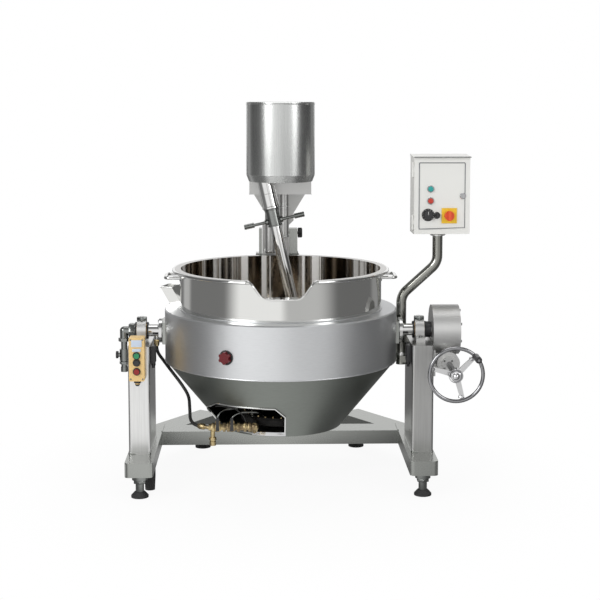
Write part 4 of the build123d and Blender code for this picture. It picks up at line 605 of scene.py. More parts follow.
def wheel_plating():
    """The rim and hub are dark mirror chrome; the spokes between them were only blasted."""
    wheel = Finish("wheel_plating", (0.4, 0.4, 0.4), metallic=1.0, roughness=0.08)
    across, up = wheel.axis(0) - WHEEL_X * MM, wheel.axis(2) - WHEEL_Z * MM
    reach = (across * across + up * up) ** 0.5
    spoke = reach.band(*HUB_EDGE) * (1.0 - reach.band(*RIM_EDGE))
    wheel.feed(Base_Color=wheel.mixed(spoke, (0.34, 0.34, 0.35), (0.80, 0.80, 0.80)))
    wheel.feed(Roughness=0.07 + spoke * 0.30)
    return wheel.material


finish_part("handwheel", wheel_plating())
print("handwheel plated")

# %% Door paint
SWITCH_X, SWITCH_Z = 0.693, 1.108
PLATE_EDGE = (0.0320, 0.0322)


def door_paint():
    """The door is one part with the main switch's raised plate, which is yellow."""
    paint = Finish("door_paint", CREAM, roughness=0.42)
    width = abs(paint.axis(0) - SWITCH_X).band(*PLATE_EDGE)
    height = abs(paint.axis(2) - SWITCH_Z).band(*PLATE_EDGE)
    door_face = paint.axis(1).band(-0.0001, 0.0001)
    outside = width.larger(height).larger(door_face)
    scuffs = paint.noise(paint.place(), 14.0, detail=5.0)
    paint.feed(Base_Color=paint.mixed(outside, (0.86, 0.56, 0.03), CREAM))
    paint.feed(Roughness=0.42 + (scuffs - 0.5) * SCUFF_SPREAD)
    paint.bump(paint.noise(paint.place(), 600.0, detail=2.0), 0.00004, 0.5)
    return paint.material


finish_part("cabinet_door", door_paint())
left_plain = [n for n in nodes if not n.startswith("~") and not nodes[n].data.materials]
print("parts without a finish:", left_plain)

# %% [markdown]
# ## A bench for small parts
# The rest of the lesson is bench work. Every small part starts as a bare mesh, is given lathe
# shapes, bent rods, bevelled slabs and nuts in millimetres, and is then mounted on the body that
# carries it, so that it moves with that body. Nearly all that a fitter adds is one of four
# shapes, so four methods do for the whole machine: a profile spun round an axis, a ring of points
# carried along a path, a bevelled block and a six-sided prism. Each is merged and has its normals
# turned outwards before it is placed, because a spin may leave them inside out.

# %% Bench
UP, DOWN = (0, 0, 1), (0, 0, -1)
RIGHT, LEFT = (1, 0, 0), (-1, 0, 0)
FRONT, BACK = (0, -1, 0), (0, 1, 0)
SHARP_ANGLE = math.radians(38)


def round_edges(part, edge):
    bmesh.ops.bevel(
        part, geom=part.edges[:], offset=edge * MM, offset_type="OFFSET",
        segments=2, profile=0.5, affect="EDGES", material=-1,
    )


class Bench:
    """A small part in the making. Measures are in millimetres, in the machine's own frame."""

    def __init__(self):
        self.mesh = bmesh.new()

    def join(self, part, base=(0, 0, 0), along=UP):
        bmesh.ops.remove_doubles(part, verts=part.verts, dist=0.00001)
        bmesh.ops.recalc_face_normals(part, faces=part.faces)
        turn = Vector(UP).rotation_difference(Vector(along)).to_matrix().to_4x4()
        place = Matrix.Translation(Vector(base) * MM) @ turn
        bmesh.ops.transform(part, matrix=place, verts=part.verts)
        carried = bpy.data.meshes.new("carried")
        part.to_mesh(carried)
        part.free()
        self.mesh.from_mesh(carried)
        bpy.data.meshes.remove(carried)
        return self

    def turned(self, profile, base, along=UP, steps=40, closed=False):
        """A lathe shape from (radius, height) pairs."""
        part = bmesh.new()
        corners = [part.verts.new((radius * MM, 0, height * MM)) for radius, height in profile]
        runs = list(zip(corners, corners[1:]))
        if closed:
            runs.append((corners[-1], corners[0]))
        edges = [part.edges.new(run) for run in runs]
        bmesh.ops.spin(
            part, geom=corners + edges, cent=(0, 0, 0), axis=UP,
            angle=math.tau, steps=steps, use_merge=True,
        )
        return self.join(part, base, along)

    def ring(self, inner, outer, thick, base, along=UP, edge=1.0, steps=40):
        """A washer or collar with its outer edge broken."""
        profile = [
            (inner, 0), (outer, 0), (outer, thick - edge), (outer - edge, thick),
            (inner + edge * 0.5, thick), (inner, thick - edge * 0.5),
        ]
        return self.turned(profile, base, along, steps, closed=True)

    def bent(self, path, radius, sides=10, closed=False):
        """A round rod bent along a path."""
        part = bmesh.new()
        points = [Vector(p) * MM for p in path]
        count = len(points)
        rings = []
        side = None
        for place, point in enumerate(points):
            before = points[place - 1] if place or closed else point
            after = points[(place + 1) % count] if place < count - 1 or closed else point
            ahead = (after - before).normalized()
            if side is None:
                side = ahead.orthogonal().normalized()
            side = (side - ahead * side.dot(ahead)).normalized()
            across = ahead.cross(side)
            round_it = [
                side * math.cos(math.tau * k / sides) + across * math.sin(math.tau * k / sides)
                for k in range(sides)
            ]
            rings.append([part.verts.new(point + out * radius * MM) for out in round_it])
        pairs = list(zip(rings, rings[1:]))
        if closed:
            pairs.append((rings[-1], rings[0]))
        for first, second in pairs:
            for k in range(sides):
                beyond = (k + 1) % sides
                part.faces.new((first[k], first[beyond], second[beyond], second[k]))
        if not closed:
            part.faces.new(rings[0])
            part.faces.new(rings[-1])
        return self.join(part)

    def slab(self, low, high, edge=1.0):
        """A block with rounded edges between two corners."""
        part = bmesh.new()
        bmesh.ops.create_cube(part, size=1.0)
        size = (Vector(high) - Vector(low)) * MM
        middle = (Vector(high) + Vector(low)) * MM / 2
        bmesh.ops.scale(part, vec=size, verts=part.verts)
        bmesh.ops.translate(part, vec=middle, verts=part.verts)
        round_edges(part, edge)
        return self.join(part)

    def nut(self, across, thick, base, along=UP, edge=1.2):
        """A hexagon nut; across is measured over its flats."""
        part = bmesh.new()
        radius = across / math.sqrt(3) * MM
        bmesh.ops.create_cone(
            part, cap_ends=True, segments=6, radius1=radius, radius2=radius, depth=thick * MM,
        )
        bmesh.ops.translate(part, vec=(0, 0, thick * MM / 2), verts=part.verts)
        round_edges(part, edge)
        return self.join(part, base, along)

    def screw(self, radius, base, along=UP):
        """A cap screw's head with its socket."""
        tall = radius * 0.9
        profile = [
            (0, tall * 0.4), (radius * 0.45, tall * 0.4), (radius * 0.5, tall),
            (radius * 0.86, tall), (radius, tall * 0.84), (radius, 0),
        ]
        return self.turned(profile, base, along, steps=20)

    def mount(self, name, body, material, slot):
        """Finish the mesh and let it ride on the body that carries it."""
        data = bpy.data.meshes.new(name)
        self.mesh.to_mesh(data)
        self.mesh.free()
        data.shade_smooth()
        data.set_sharp_from_angle(angle=SHARP_ANGLE)
        data.materials.append(material)
        piece = bpy.data.objects.new(name, data)
        scene.collection.objects.link(piece)
        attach(piece, body)
        return piece


print("bench ready")

# %% [markdown]
# A bent pipe or a weld bead follows a path. Three helpers write such paths: one rounds the
# corners of a few typed points, as a pipe bender does, one gives an arc, and one spaces points
# round a circle, as a drilling plate does for bolts.

# %% Paths
def rounded(path, radius, steps=5):
    """The same path with its inner corners rounded."""
    points = [Vector(p) for p in path]
    smooth = [points[0]]
    for before, here, after in zip(points, points[1:], points[2:]):
        back = (before - here).normalized() * min(radius, (before - here).length * 0.45)
        on = (after - here).normalized() * min(radius, (after - here).length * 0.45)
        for step in range(steps + 1):
            t = step / steps
            smooth.append(here + back * (1 - t) ** 2 + on * t ** 2)
    return smooth + [points[-1]]


def arc(radius, height, first, last, steps):
    """Points along a level arc, between two angles in degrees."""
    angles = [math.radians(first + (last - first) * k / steps) for k in range(steps + 1)]
    return [(radius * math.cos(a), radius * math.sin(a), height) for a in angles]


def spots(count, radius, start=0.0):
    """Evenly spaced points on a circle, as pairs."""
    angles = [math.radians(start) + math.tau * k / count for k in range(count)]
    return [(radius * math.cos(a), radius * math.sin(a)) for a in angles]


print("path helpers ready")

# %% [markdown]
# ## The kettle
# A bowl this size is never left with a raw edge. The flange is finished by a rolled bead that
# stops at the spout, and the spout has a thinner rolled lip of its own. Both could be cut from
# the bowl's own edge, but a rod bent along the edge is simpler, keeps an even thickness and can
# be changed without touching the bowl.

# %% Rim and lip
AXIS = 636.0
RIM = 896.0
LIP_FRONT, LIP_FLOOR = -482, 833

bead = Bench()
bead.bent(arc(438.0, RIM - 6, -71.5, 251.5, 120), 6.6)
bead.mount("rim_bead", "kettle", polished_shaft, "bowl_steel")

lip = [
    (-133, -404, RIM), (-116, LIP_FRONT, RIM), (-74, LIP_FRONT, LIP_FLOOR),
    (74, LIP_FRONT, LIP_FLOOR), (116, LIP_FRONT, RIM), (133, -404, RIM),
]
Bench().bent(rounded(lip, 34), 3.2).mount("spout_lip", "kettle", polished_shaft, "bowl_steel")
print("rim at", RIM, "mm, lip", -LIP_FRONT, "mm in front of the axis")

# %% [markdown]
# The jacket's band meets the bowl above and the cone below, and a ground weld runs round each of
# these joints. A weld drawn only as a bump in the material would vanish at the outline, so it is
# a thin closed ring of real metal. The handles stand on small round pads, four in all.

# %% Jacket seams and handle pads
seams = Bench()
seams.bent(arc(415.0, 734.0, 0, 360, 120)[:-1], 2.6, sides=8, closed=True)
seams.bent(arc(475.0, 521.6, 0, 360, 140)[:-1], 2.4, sides=8, closed=True)
seams.mount("jacket_seams", "kettle", bright_band, "band_steel")

pads = Bench()
for side in (-1, 1):
    for y in (-58.5, 58.5):
        pads.ring(6.9, 15.0, 4.0, (side * 408.0, y, 862.0), (side, 0, 0))
pads.mount("handle_pads", "kettle", polished_shaft, "bowl_steel")
print("2 seams, 4 pads")

# %% [markdown]
# The burner port is cut through the cone, and its edge is rolled outwards so that nobody is cut
# while lighting the burner. The bead follows the cone's surface all the way round the opening, so
# a helper first finds the point of the cone in front of any x and z. At the far left the port
# turns the corner of the cone, and there the bead runs up a line at a fixed depth instead.

# %% Points on the cone
CONE_FOOT_RADIUS, CONE_FOOT = 249.0, 249.0
CONE_WIDENS, CONE_HEIGHT = 224.0, 274.0
CORNER_DEPTH = 60.0


def cone_radius(z):
    """The cone's outer radius at a height."""
    return CONE_FOOT_RADIUS + (z - CONE_FOOT) * CONE_WIDENS / CONE_HEIGHT


def on_cone(x, z, lift):
    """The point of the cone's front at an x and a z, lifted off its surface."""
    radius = cone_radius(z) + lift
    return (x, -math.sqrt(max(radius ** 2 - x ** 2, CORNER_DEPTH ** 2)), z)


def between(first, last, count):
    """Even steps from first to last, with both ends."""
    return [first + (last - first) * k / count for k in range(count)]


print("cone radius at the port's sill:", round(cone_radius(262.0)), "mm")

# %% Burner port
SILL, SHOULDER, HEAD = 262.0, 348, 388.0
PORT_LEFT, PORT_RIGHT = -300.0, 13.0
PROUD = 1.5
CORNER_SLOPE = 0.8175


def up_the_corner(z):
    radius = CONE_FOOT_RADIUS + (z - CONE_FOOT) * CORNER_SLOPE
    return (-math.sqrt(radius ** 2 - CORNER_DEPTH ** 2), -CORNER_DEPTH, z)


edge = [on_cone(x, SILL, PROUD) for x in between(PORT_RIGHT, -252, 14)]
edge += [up_the_corner(z) for z in between(SILL, 318, 5)]
edge += [on_cone(PORT_LEFT, z, PROUD) for z in between(321, SHOULDER, 3)]
edge += [on_cone(x, SHOULDER + (x - PORT_LEFT), PROUD) for x in between(PORT_LEFT, -260, 4)]
edge += [on_cone(x, HEAD, PROUD) for x in between(-260, -27, 14)]
edge += [on_cone(x, HEAD - (x + 27), PROUD) for x in between(-27, PORT_RIGHT, 4)]
edge += [on_cone(PORT_RIGHT, z, PROUD) for z in between(SHOULDER, SILL, 5)]
port = Bench().bent(edge, 3.4, sides=8, closed=True)
port.mount("port_edge", "kettle", polished_shaft, "cone_steel")

step = Bench()
front_edge = [on_cone(x, 257.0, 5.0) for x in between(16, -128, 12)]
for drop in (0, 5, 10):
    step.bent([(x, y, z - drop + 10) for x, y, z in front_edge], 3.4, sides=8)
step.mount("port_step", "kettle", chrome_plate, "cone_steel")
print("port edge of", len(edge), "points")

# %% [markdown]
# Inside the port sits a ring burner with a flame nozzle at every hole, fed by a brass rail of
# cocks and elbows. What makes such a rail believable is its unions: wherever two fittings screw
# together there is a hexagon. The nozzles are one lathe profile set round a circle, and the
# hexagons are typed by their places along the rail.

# %% Burner and gas rail
NOZZLES = 28
BURNER_RADIUS = 150.0
NOZZLE = [(0, 6.0), (1.6, 6.0), (2.2, 7.0), (4.2, 6.0), (5.4, 0)]
nozzles = Bench()
for x, y in spots(NOZZLES, BURNER_RADIUS):
    nozzles.turned(NOZZLE, (x, y, 298.5), steps=14)
nozzles.mount("flame_nozzles", "kettle", brass_fittings, "brass")

RAIL_Y, RAIL_Z = -300.0, 302.0
nuts = Bench()
for x in (-276, -232, -216, -176, -150, -132):
    nuts.nut(33.0, 11.0, (x, RAIL_Y, RAIL_Z), RIGHT)
for x in (-252, -196):
    nuts.nut(22.0, 9.0, (x, -311.0, RAIL_Z), FRONT)
    nuts.nut(20.0, 9.0, (x, RAIL_Y, 318.0), UP)
nuts.nut(26.0, 12.0, (-272, -300, 262), DOWN)
nuts.nut(24.0, 10.0, (-108, -272, 284), BACK)
nuts.mount("rail_nuts", "kettle", brass_fittings, "brass")
print(NOZZLES, "nozzles, 12 unions")

# %% [markdown]
# Two thin pipes rise from the rail, arch over the burner and come down to the pilot flame, and a
# spark lead runs beside them. Each is a few typed points with its corners rounded, as a fitter
# bends soft tube by hand; a curve object would do the same but would need turning into a mesh.

# %% Pilot pipes and spark lead
pilot = [
    (-252, -300, 322), (-252, -300, 352), (-224, -268, 366),
    (-160, -214, 356), (-132, -170, 318), (-118, -128, 306),
]
safety = [
    (-196, -300, 324), (-196, -302, 344), (-166, -290, 358),
    (-92, -262, 352), (-70, -214, 322), (-66, -150, 308),
]
pipes = Bench()
pipes.bent(rounded(pilot, 22), 3.2)
pipes.bent(rounded(safety, 20), 2.6)
pipes.turned([(0, 0), (7, 0), (7, 26), (5, 30), (0, 30)], (-118, -132, 300), (0, 0.6, 0.8))
pipes.mount("pilot_pipes", "kettle", turned_steel, "foot_steel")

spark = [
    (-140, -292, 316), (-150, -296, 346), (-182, -286, 372),
    (-236, -262, 378), (-262, -240, 372),
]
Bench().bent(rounded(spark, 18), 2.4).mount("spark_lead", "kettle", hose_rubber, "hose_rubber")
print("2 pipes, 1 lead")

# %% [markdown]
# A ferrule is the sleeve that crimps a hose onto its fitting, so it fits closely round the hose
# and swells in the middle. It is a closed lathe profile, with the hose's own radius as its bore.

# %% Hose ferrules
HOSE_BORE = 6.9
ferrules = Bench()
ferrules.turned(
    [(HOSE_BORE, 0), (10.5, 0), (11.5, 4), (11.5, 18), (9.5, 26), (HOSE_BORE, 26)],
    (-512.3, 0, 598), DOWN, closed=True,
)
ferrules.turned(
    [(HOSE_BORE, 0), (11.0, 0), (12.0, 4), (12.0, 20), (9.5, 28), (HOSE_BORE, 28)],
    (-304, -292, RAIL_Z), (-0.893, 0.447, 0.045), closed=True,
)
ferrules.mount("hose_ferrules", "kettle", brass_fittings, "brass")
print("a ferrule at each end of the hose")

# %% [markdown]
# The kettle swings on two trunnions, each bolted to the jacket by a ring of six screws. At the
# back a bracket carries the mixer head's hinge pin, with a washer at one end and four screws
# below. Every screw is the same lathe shape with a sunk socket, so that it looks right from close
# by.

# %% Trunnion and hinge bolts
HINGE_Y, HINGE_Z = 500, 880
bolts = Bench()
for side in (-1, 1):
    for y, z in spots(6, 38.0, 30):
        bolts.screw(6.0, (side * 500.3, y, AXIS + z), (side, 0, 0))
bolts.ring(15.6, 25.0, 3.0, (80.4, HINGE_Y, HINGE_Z), RIGHT)
for x in (-104, 104):
    for z in (606, 640):
        bolts.screw(7.0, (x, 502.3, z), BACK)
bolts.mount("kettle_bolts", "kettle", turned_steel, "foot_steel")
print("16 screws and a washer")

# %% [markdown]
# Burnt gas leaves the jacket by a square flue on the left. It stands square to the bowl's radius
# and not to the room, so its beads are typed as a frame along and across that radius, and two
# vectors turn the frame into place.

# %% Flue and flame knob
FLUE_ANGLE = math.radians(163)
outwards = Vector((math.cos(FLUE_ANGLE), math.sin(FLUE_ANGLE), 0))
beside = Vector((-outwards.y, outwards.x, 0))


def flue_frame(radius, deep, wide, z):
    """Four corners of a level frame round the flue."""
    corners = [(-1, -1), (1, -1), (1, 1), (-1, 1)]
    return [
        outwards * (radius + a * deep) + beside * (b * wide) + Vector((0, 0, z))
        for a, b in corners
    ]


flue = Bench()
flue.bent(flue_frame(445, 25.5, 46.5, 734.5), 2.4, sides=8, closed=True)
flue.bent(flue_frame(487, 25.2, 46.2, 801.0), 2.4, sides=8, closed=True)
flue.mount("flue_beads", "kettle", polished_shaft, "bowl_steel")

knob_way = Vector((-214.0, -425.2, 0)).normalized()
knob_plate = Bench()
knob_plate.ring(6.0, 29.0, 3.0, knob_way * 476.4 + Vector((0, 0, 604)), knob_way)
knob_plate.mount("flame_knob_plate", "kettle", black_plastic, "black_plastic")
print("2 flue beads, 1 knob plate")

# %% [markdown]
# ## The mixer head
# Everything under the canister is turned and welded steel. The agitator's axis leans by twelve
# and a half degrees, so a helper takes points measured along the leaning shaft to the machine's
# frame.

# %% Leaning shaft
LEAN = math.radians(12.65)
DISH_CENTRE = 973.0


def on_shaft(x, y, s):
    """A point x across and s along the leaning axis, from the centre of the dish."""
    return (
        x * math.cos(LEAN) - s * math.sin(LEAN), y,
        DISH_CENTRE + x * math.sin(LEAN) + s * math.cos(LEAN),
    )


UP_SHAFT = (-math.sin(LEAN), 0, math.cos(LEAN))
OUT_BAR = (math.cos(LEAN), 0, math.sin(LEAN))
print("the shaft leans", round(math.degrees(LEAN), 2), "degrees")

# %% [markdown]
# The carrier turns under the canister and holds the leaning shaft in a sleeve. A collar closes
# the sleeve's foot, a black seal shows below it as a thin line, and cap screws hold the carrier's
# disc. Two screws would stand inside the sleeve and are left out.

# %% Sleeve
SHAFT_RADIUS = 25.0
collar = Bench()
collar.ring(SHAFT_RADIUS, 36.5, 9.0, on_shaft(0, 0, 173), UP_SHAFT, edge=2.0)
collar.ring(33.2, 35.0, 3.0, on_shaft(0, 0, 232), UP_SHAFT)
for x, y in spots(6, 92.0, 30):
    if x > -60 or abs(y) > 50:
        collar.screw(5.5, (x, y, 1253.0), DOWN)
collar.mount("sleeve_collar", "carrier", polished_shaft, "polished_shaft")

seal = Bench()
seal.ring(25.5, 33.6, 2.4, on_shaft(0, 0, 170.0), UP_SHAFT, edge=0.6)
seal.mount("sleeve_seal", "carrier", black_plastic, "black_plastic")
print("collar and seal")

# %% [markdown]
# The coupling slides along the shaft, moved by a cross bar with two ribbed grips. The ribs could
# be cut into the bar's own profile, but five thin rings on each grip leave the bar as it is.

# %% Coupling bar
BAR_HEIGHT = 119
tee = Bench()
for side in (-1, 1):
    way = tuple(side * part for part in OUT_BAR)
    tee.ring(6.2, 12.0, 11.0, on_shaft(side * 26.0, 0, BAR_HEIGHT), way, edge=2.0)
    for reach in (87, 95, 103, 111, 119):
        tee.ring(9.8, 11.2, 3.2, on_shaft(side * reach, 0, BAR_HEIGHT), way, edge=0.8)
for s in (97.5, 160.0):
    tee.ring(28.6, 30.4, 6.0, on_shaft(0, 0, s), UP_SHAFT)
tee.mount("tee_collars", "coupling", turned_steel, "polished_shaft")
print("10 grip rings")

# %% [markdown]
# The scraper's five blades hang on the agitator's curved frame, each by two bolts. The frame is
# an arc about the dish's centre, so an angle along that arc and the lean of the shaft place each
# bolt.

# %% Scraper bolts
BLADES = 5
SWEEP = 46.4
BOLT_REACH = 606.5
blade_bolts = Bench()
for blade in range(BLADES):
    middle = -SWEEP / 2 + (blade + 0.5) * SWEEP / BLADES
    for turn in (-2.6, 2.6):
        a = math.radians(middle + turn)
        place = on_shaft(BOLT_REACH * math.sin(a), -18.0, -BOLT_REACH * math.cos(a))
        blade_bolts.screw(4.0, place, FRONT)
blade_bolts.mount("scraper_bolts", "agitator", turned_steel, "foot_steel")
print(2 * BLADES, "scraper bolts")

# %% [markdown]
# The canister is rolled sheet: a rolled bead closes its top, a thinner one its foot, and a
# straight weld runs up its back, where nobody stands. Four cap screws hold it to the arm behind.

# %% Canister
head = Bench()
head.bent(arc(139.6, 1566.5, 0, 360, 90)[:-1], 1.9, sides=8, closed=True)
head.bent(arc(139.4, 1279.0, 0, 360, 90)[:-1], 1.2, sides=8, closed=True)
head.bent([(0, 139.8, 1282), (0, 139.8, 1562)], 1.2, sides=8)
for angle in (64, 116):
    way = (math.cos(math.radians(angle)), math.sin(math.radians(angle)), 0)
    for z in (1290, 1345):
        head.screw(6.0, (way[0] * 149.6, way[1] * 149.6, z), way)
head.mount("canister_trim", "head", polished_shaft, "canister_steel")
print("canister trimmed")

# %% [markdown]
# The arm is a welded box, so a bead runs along its long edges. Two tubes stand under its rear
# end, and each passes through collars at its foot, its middle and its top. The lock above the
# hinge has a star knob, made as five short lobes round a hub.

# %% Arm, posts and lock
POST_BACK = 455.0
welds = Bench()
welds.bent([(-127, 451.5, 1188.5), (127, 451.5, 1188.5)], 2.2, sides=8)
welds.bent([(-129, 104, 1189.5), (-129, 528, 1189.5)], 1.6, sides=8)
welds.bent([(129, 104, 1189.5), (129, 528, 1189.5)], 1.6, sides=8)
for x, radius, foot in ((-42.0, 22.0, 905.0), (22.0, 18.0, 976.0)):
    y = POST_BACK - radius
    welds.ring(radius + 0.2, radius + 4.0, 9.0, (x, y, foot), edge=1.5)
    welds.ring(radius + 0.2, radius + 4.0, 6.0, (x, y, 1183.0), edge=1.5)
    welds.ring(radius + 0.2, radius + 2.0, 5.0, (x, y, 1108.0))
welds.mount("post_collars", "head", polished_shaft, "frame_steel")

LOCK_Z = 987
LOBE = [(0, 0), (6.0, 0), (7.0, 2), (7.0, 16), (5.0, 18.5), (0, 19)]
lobes = Bench()
for y, z in spots(5, 16.5, 90):
    lobes.turned(LOBE, (82.5, HINGE_Y + y, LOCK_Z + z), RIGHT, steps=16)
lobes.mount("lock_lobes", "head_lock", black_plastic, "black_plastic")
print("arm welded, posts collared, 5 lobes")

# %% [markdown]
# ## The stand
# Columns, beams and feet are welded, and a welder's bead shows wherever two bars meet. A bead is
# a closed rod round the column's foot, half sunk in both bars. The feet screw up and down, and
# each is held at its height by a locknut against the frame.

# %% Welds and feet
COLUMN_X = 574.0
stand = Bench()
for side in (-1, 1):
    x = side * COLUMN_X
    foot = [(x - 44, -145, 155), (x + 44, -145, 155), (x + 44, 145, 155), (x - 44, 145, 155)]
    loop = rounded(foot + foot[:2], 10)[6:-1]
    stand.bent(loop, 2.8, sides=8, closed=True)
    inner = side * 511.0
    stand.bent([(inner, 219, 97), (inner, 217, 152)], 3.0, sides=8)
    stand.bent([(inner, 220, 155), (inner, 336, 155)], 3.0, sides=8)
stand.mount("frame_welds", "base", satin_frame, "frame_steel")

locknuts = Bench()
for x, y in ((568.0, -220), (-568.0, -220), (350, 545), (-350, 545)):
    locknuts.nut(46.0, 13.0, (x, y, 56.0), edge=2.0)
    locknuts.ring(17.3, 33.5, 5.0, (x, y, 89.5), edge=1.5)
locknuts.mount("foot_locknuts", "base", turned_steel, "foot_steel")
print("6 weld beads, 4 locknuts")

# %% [markdown]
# The trunnions turn in cast blocks. Each block is greased through a plug on top and closed on
# both faces by a black lip seal, which is the dark ring round the shaft. On the right the shaft
# goes on into the gear case, whose cover is held by eight screws.

# %% Bearings and gear case
BLOCK_X = 572.0
CASE_FACE = 734.0
caps = Bench()
for side in (-1, 1):
    for face, way in ((592.5, 1), (551.5, -1)):
        caps.ring(25.6, 35.0, 7.0, (side * face, 0, AXIS), (side * way, 0, 0), edge=1.5)
caps.ring(25.6, 33.0, 21.0, (599.5, 0, AXIS), RIGHT, edge=2.0)
caps.mount("bearing_seals", "base", black_plastic, "black_plastic")

fixings = Bench()
for side in (-1, 1):
    for y in (-62, 62):
        fixings.screw(8.0, (side * BLOCK_X, y, 612.0))
    fixings.nut(40.0, 18.0, (side * BLOCK_X, 0, 674.5), edge=2.0)
for y, z in spots(8, 92.0, 22.5):
    fixings.screw(5.5, (CASE_FACE, y, AXIS + z), RIGHT)
for x, z in spots(4, 22.0, 45):
    fixings.screw(4.0, (WHEEL_X + x, -129.0, WHEEL_Z + z), FRONT)
fixings.nut(30.0, 8.0, (CASE_FACE - 3.0, 0, AXIS), RIGHT)
for y in (-70, 70):
    fixings.screw(6.0, (626.0, y, 592.0))
fixings.mount("stand_screws", "base", turned_steel, "foot_steel")
print("seals, plugs and 18 screws")

# %% [markdown]
# The cabinet stands on a bent tube, held to the right column by two clamps and to the cabinet's
# floor by a flange with four screws. On the inner side of each column a small limit switch feels
# the kettle's tilt; its cable gland points down, so that water runs off.

# %% Post clamps and tilt switches
TUBE_RADIUS = 21.2
TUBE_Y = 95.0
TUBE_FOOT_X, TUBE_TOP_X = 508.0, 658.0
clamps = Bench()
for z in (497.0, 585.0):
    for y in (71.0, 119.0):
        clamps.screw(5.0, (487.0, y, z), LEFT)
    clamps.ring(TUBE_RADIUS, 26.0, 12.0, (TUBE_FOOT_X, TUBE_Y, z + 15.0), edge=1.5)
clamps.ring(TUBE_RADIUS, 30.0, 6.0, (TUBE_TOP_X, TUBE_Y, 1017.0), edge=1.5)
for x, y in spots(4, 30.0, 45):
    clamps.screw(4.0, (TUBE_TOP_X + x, TUBE_Y + y, 1023.0), DOWN)
clamps.mount("post_clamps", "base", polished_shaft, "polished_shaft")

GLAND = [(0, 0), (9, 0), (9, 12), (6, 14), (6, 22), (0, 22)]
switches = Bench()
for side, left, right in ((-1, -529.6, -509.0), (1, 509.0, 529.6)):
    switches.slab((left, -118, 520), (right, -66, 588), edge=3.0)
    switches.turned(GLAND, (side * 519.0, -92, 520.5), DOWN, steps=18)
switches.mount("tilt_switches", "base", black_plastic, "black_plastic")
print("2 clamps, 1 flange, 2 switches")

# %% [markdown]
# The handwheel is held by a nut under a domed cap, and its three spokes swell where they enter
# the rim. Each swelling is a short cone that points back at the hub, so its direction is the
# spoke's own with the sign turned round.

# %% Handwheel
DOME = [(0, 11), (5, 10.4), (10, 7.6), (13.6, 3.4), (14.5, 0)]
SPOKE_REACH = 92
boss = Bench()
boss.nut(38.0, 10.0, (WHEEL_X, -351.5, WHEEL_Z), FRONT, edge=2.0)
boss.turned(DOME, (WHEEL_X, -361.0, WHEEL_Z), FRONT)
boss.ring(24.8, 27.6, 5.0, (WHEEL_X, -349.5, WHEEL_Z), FRONT)
for angle in (45, 165, 285):
    a = math.radians(angle)
    way = (math.cos(a), 0, math.sin(a))
    root = (WHEEL_X + way[0] * SPOKE_REACH, -330, WHEEL_Z + way[2] * SPOKE_REACH)
    boss.turned([(10.5, 0), (8.5, 6), (6.5, 9)], root, tuple(-v for v in way), steps=20)
boss.mount("wheel_boss", "tilt_drive", chrome_plate, "chrome")
print("nut, dome and 3 spoke roots")

# %% [markdown]
# ## Controls
# The push-button station on the left column has three buttons in black rings, a cable gland below
# and two blank label films above. The films are left bare: they are the place for words, and a
# part for everyone carries none. Raised pieces are used and not a picture, so that the edges
# catch light.

# %% Push-button station
STATION_X, STATION_FACE = -577.0, -199.8
rings = Bench()
for z in (569.0, 541.0, 505.0):
    rings.ring(11.5, 15.4, 4.0, (STATION_X, STATION_FACE, z), FRONT, steps=28)
rings.nut(25.0, 12.0, (STATION_X, -172.5, 465.5), DOWN)
rings.turned(
    [(0, 0), (9.5, 0), (9.5, 8), (6, 13), (0, 13)], (STATION_X, -172.5, 454.0), DOWN, steps=20,
)
rings.mount("button_rings", "base", black_plastic, "black_plastic")

labels = Bench()
labels.slab((-598, -202.0, 604), (-556, -199.9, 632), edge=0.9)
labels.slab((-594, -203.0, 585), (-560, -199.9, 597), edge=0.9)
labels.mount("station_labels", "base", label_film, "electric_grey")
print("3 rings, 1 gland, 2 blank labels")

# %% [markdown]
# Gas comes up the left side in a steel pipe and enters through a swivel at the trunnion, so the
# pipe stays still when the kettle tilts. Big hexagons mark the swivel and the pipe's two unions.
# The station's lid is held by four small screws, made here too because they share the finish.

# %% Gas inlet
PIPE_X = -646.0
fittings = Bench()
for x in (-601.0, -553.0):
    for z in (474.0, 633.0):
        fittings.screw(3.2, (x, -200.0, z), FRONT)
fittings.nut(58.0, 22.0, (-602.5, 0, AXIS), LEFT, edge=2.5)
fittings.nut(42.0, 15.0, (PIPE_X, 0, 606.0), DOWN, edge=2.0)
fittings.nut(36.0, 12.0, (PIPE_X, 0, 508.0), DOWN, edge=2.0)
fittings.mount("inlet_fittings", "base", turned_steel, "foot_steel")
print("3 hexagons, 4 screws")

# %% [markdown]
# The cabinet's door has a rubber seal round its panel, laid as a dark grey rod and made thick and
# dark enough to be painted shade of the gap round the door as well. It rides on the door, not on
# the cabinet, because a seal is glued to the leaf. Lamps and lock sit in chromed rings, and the
# two knobs turn over black plates.

# %% Cabinet door
DOOR_LOW, DOOR_HIGH = 1052.5, 1325.5
DOOR_LEFT, DOOR_RIGHT = 568.5, 757.5
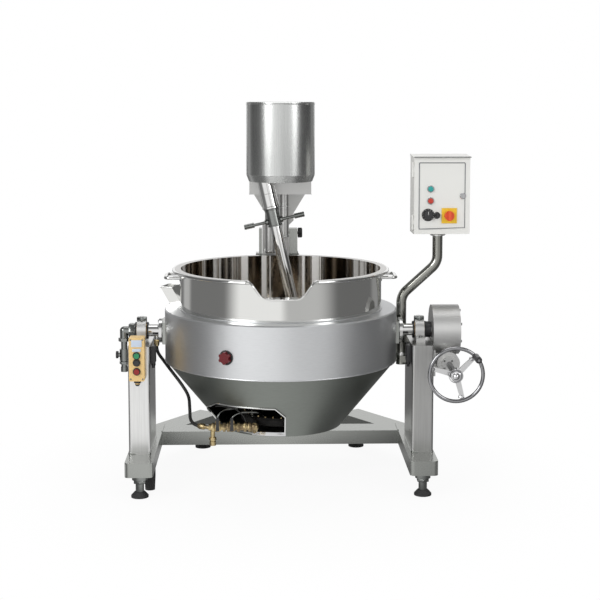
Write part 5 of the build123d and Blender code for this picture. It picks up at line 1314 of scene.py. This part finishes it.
# painted shade in part: the dark grey seal rod also stands for the shade in the door's gap
shade_and_gasket = Bench()
panel = [
    (DOOR_LEFT, 0.6, DOOR_LOW), (DOOR_RIGHT, 0.6, DOOR_LOW),
    (DOOR_RIGHT, 0.6, DOOR_HIGH), (DOOR_LEFT, 0.6, DOOR_HIGH),
]
shade_and_gasket.bent(rounded(panel + panel[:2], 6)[6:-1], 2.1, sides=8, closed=True)
shade_and_gasket.mount("door_shade_and_gasket", "door", grey_switchgear, "foot_rubber")

trim = Bench()
for z in (1218.0, 1169.0):
    trim.ring(11.5, 15.0, 5.0, (616.0, 1.5, z), FRONT, steps=28)
trim.ring(9.6, 13.0, 2.5, (749.0, -0.1, 1189.0), FRONT, steps=28)
trim.mount("door_rings", "door", chrome_plate, "chrome")
print("gasket and 3 rings")

# %% [markdown]
# The speed knob needs a scale. Painted marks would do, but small raised studs stay sharp from any
# distance: eleven of them, over three quarters of a turn, and a white bar on the knob that turns
# with it and points at them.

# %% Speed dial
DIAL_X, DIAL_Z = 606.0, 1111.0
MARKS = 11
MARK_CIRCLE = 22.5
dial = Bench()
dial.ring(17.6, 26.0, 1.6, (DIAL_X, 1.5, DIAL_Z), FRONT, edge=0.5)
dial.ring(10.6, 14.0, 1.6, (642.5, 1.5, 1109.0), FRONT, edge=0.5)
dial.mount("dial_plates", "door", black_plastic, "black_plastic")

marks = Bench()
for place in range(MARKS):
    a = math.radians(225 - place * 27)
    x, z = DIAL_X + MARK_CIRCLE * math.cos(a), DIAL_Z + MARK_CIRCLE * math.sin(a)
    marks.turned([(0, 0.8), (0.9, 0.8), (1.2, 0)], (x, 0.0, z), FRONT, steps=10)
marks.mount("dial_marks", "door", white_scraper, "ptfe")

pointer = Bench()
pointer.slab((605.1, -17.4, 1113), (606.9, -16.4, 1126), edge=0.3)
pointer.mount("speed_pointer", "speed_knob", white_scraper, "ptfe")
print(MARKS, "marks and a pointer")

# %% [markdown]
# The cabinet's hood is folded sheet, and its front edge is turned down into a drip edge: a thin
# strip across the front with a rounded fold above it. Both are coloured dark grey and not cream,
# as painted shadow of the hood.

# %% Hood edge
# painted shadow: the drip edge is dark grey, not cream, for the shade under the hood
hood = Bench()
hood.slab((545.2, -14.0, 1347.2), (780.8, -12.0, 1350.2), edge=0.5)
hood.bent([(546.0, -12.9, 1350.4), (780.0, -12.9, 1350.4)], 1.0, sides=8)
hood.mount("hood_shadow_edge", "base", grey_switchgear, "cabinet_paint")
print("hood edged")
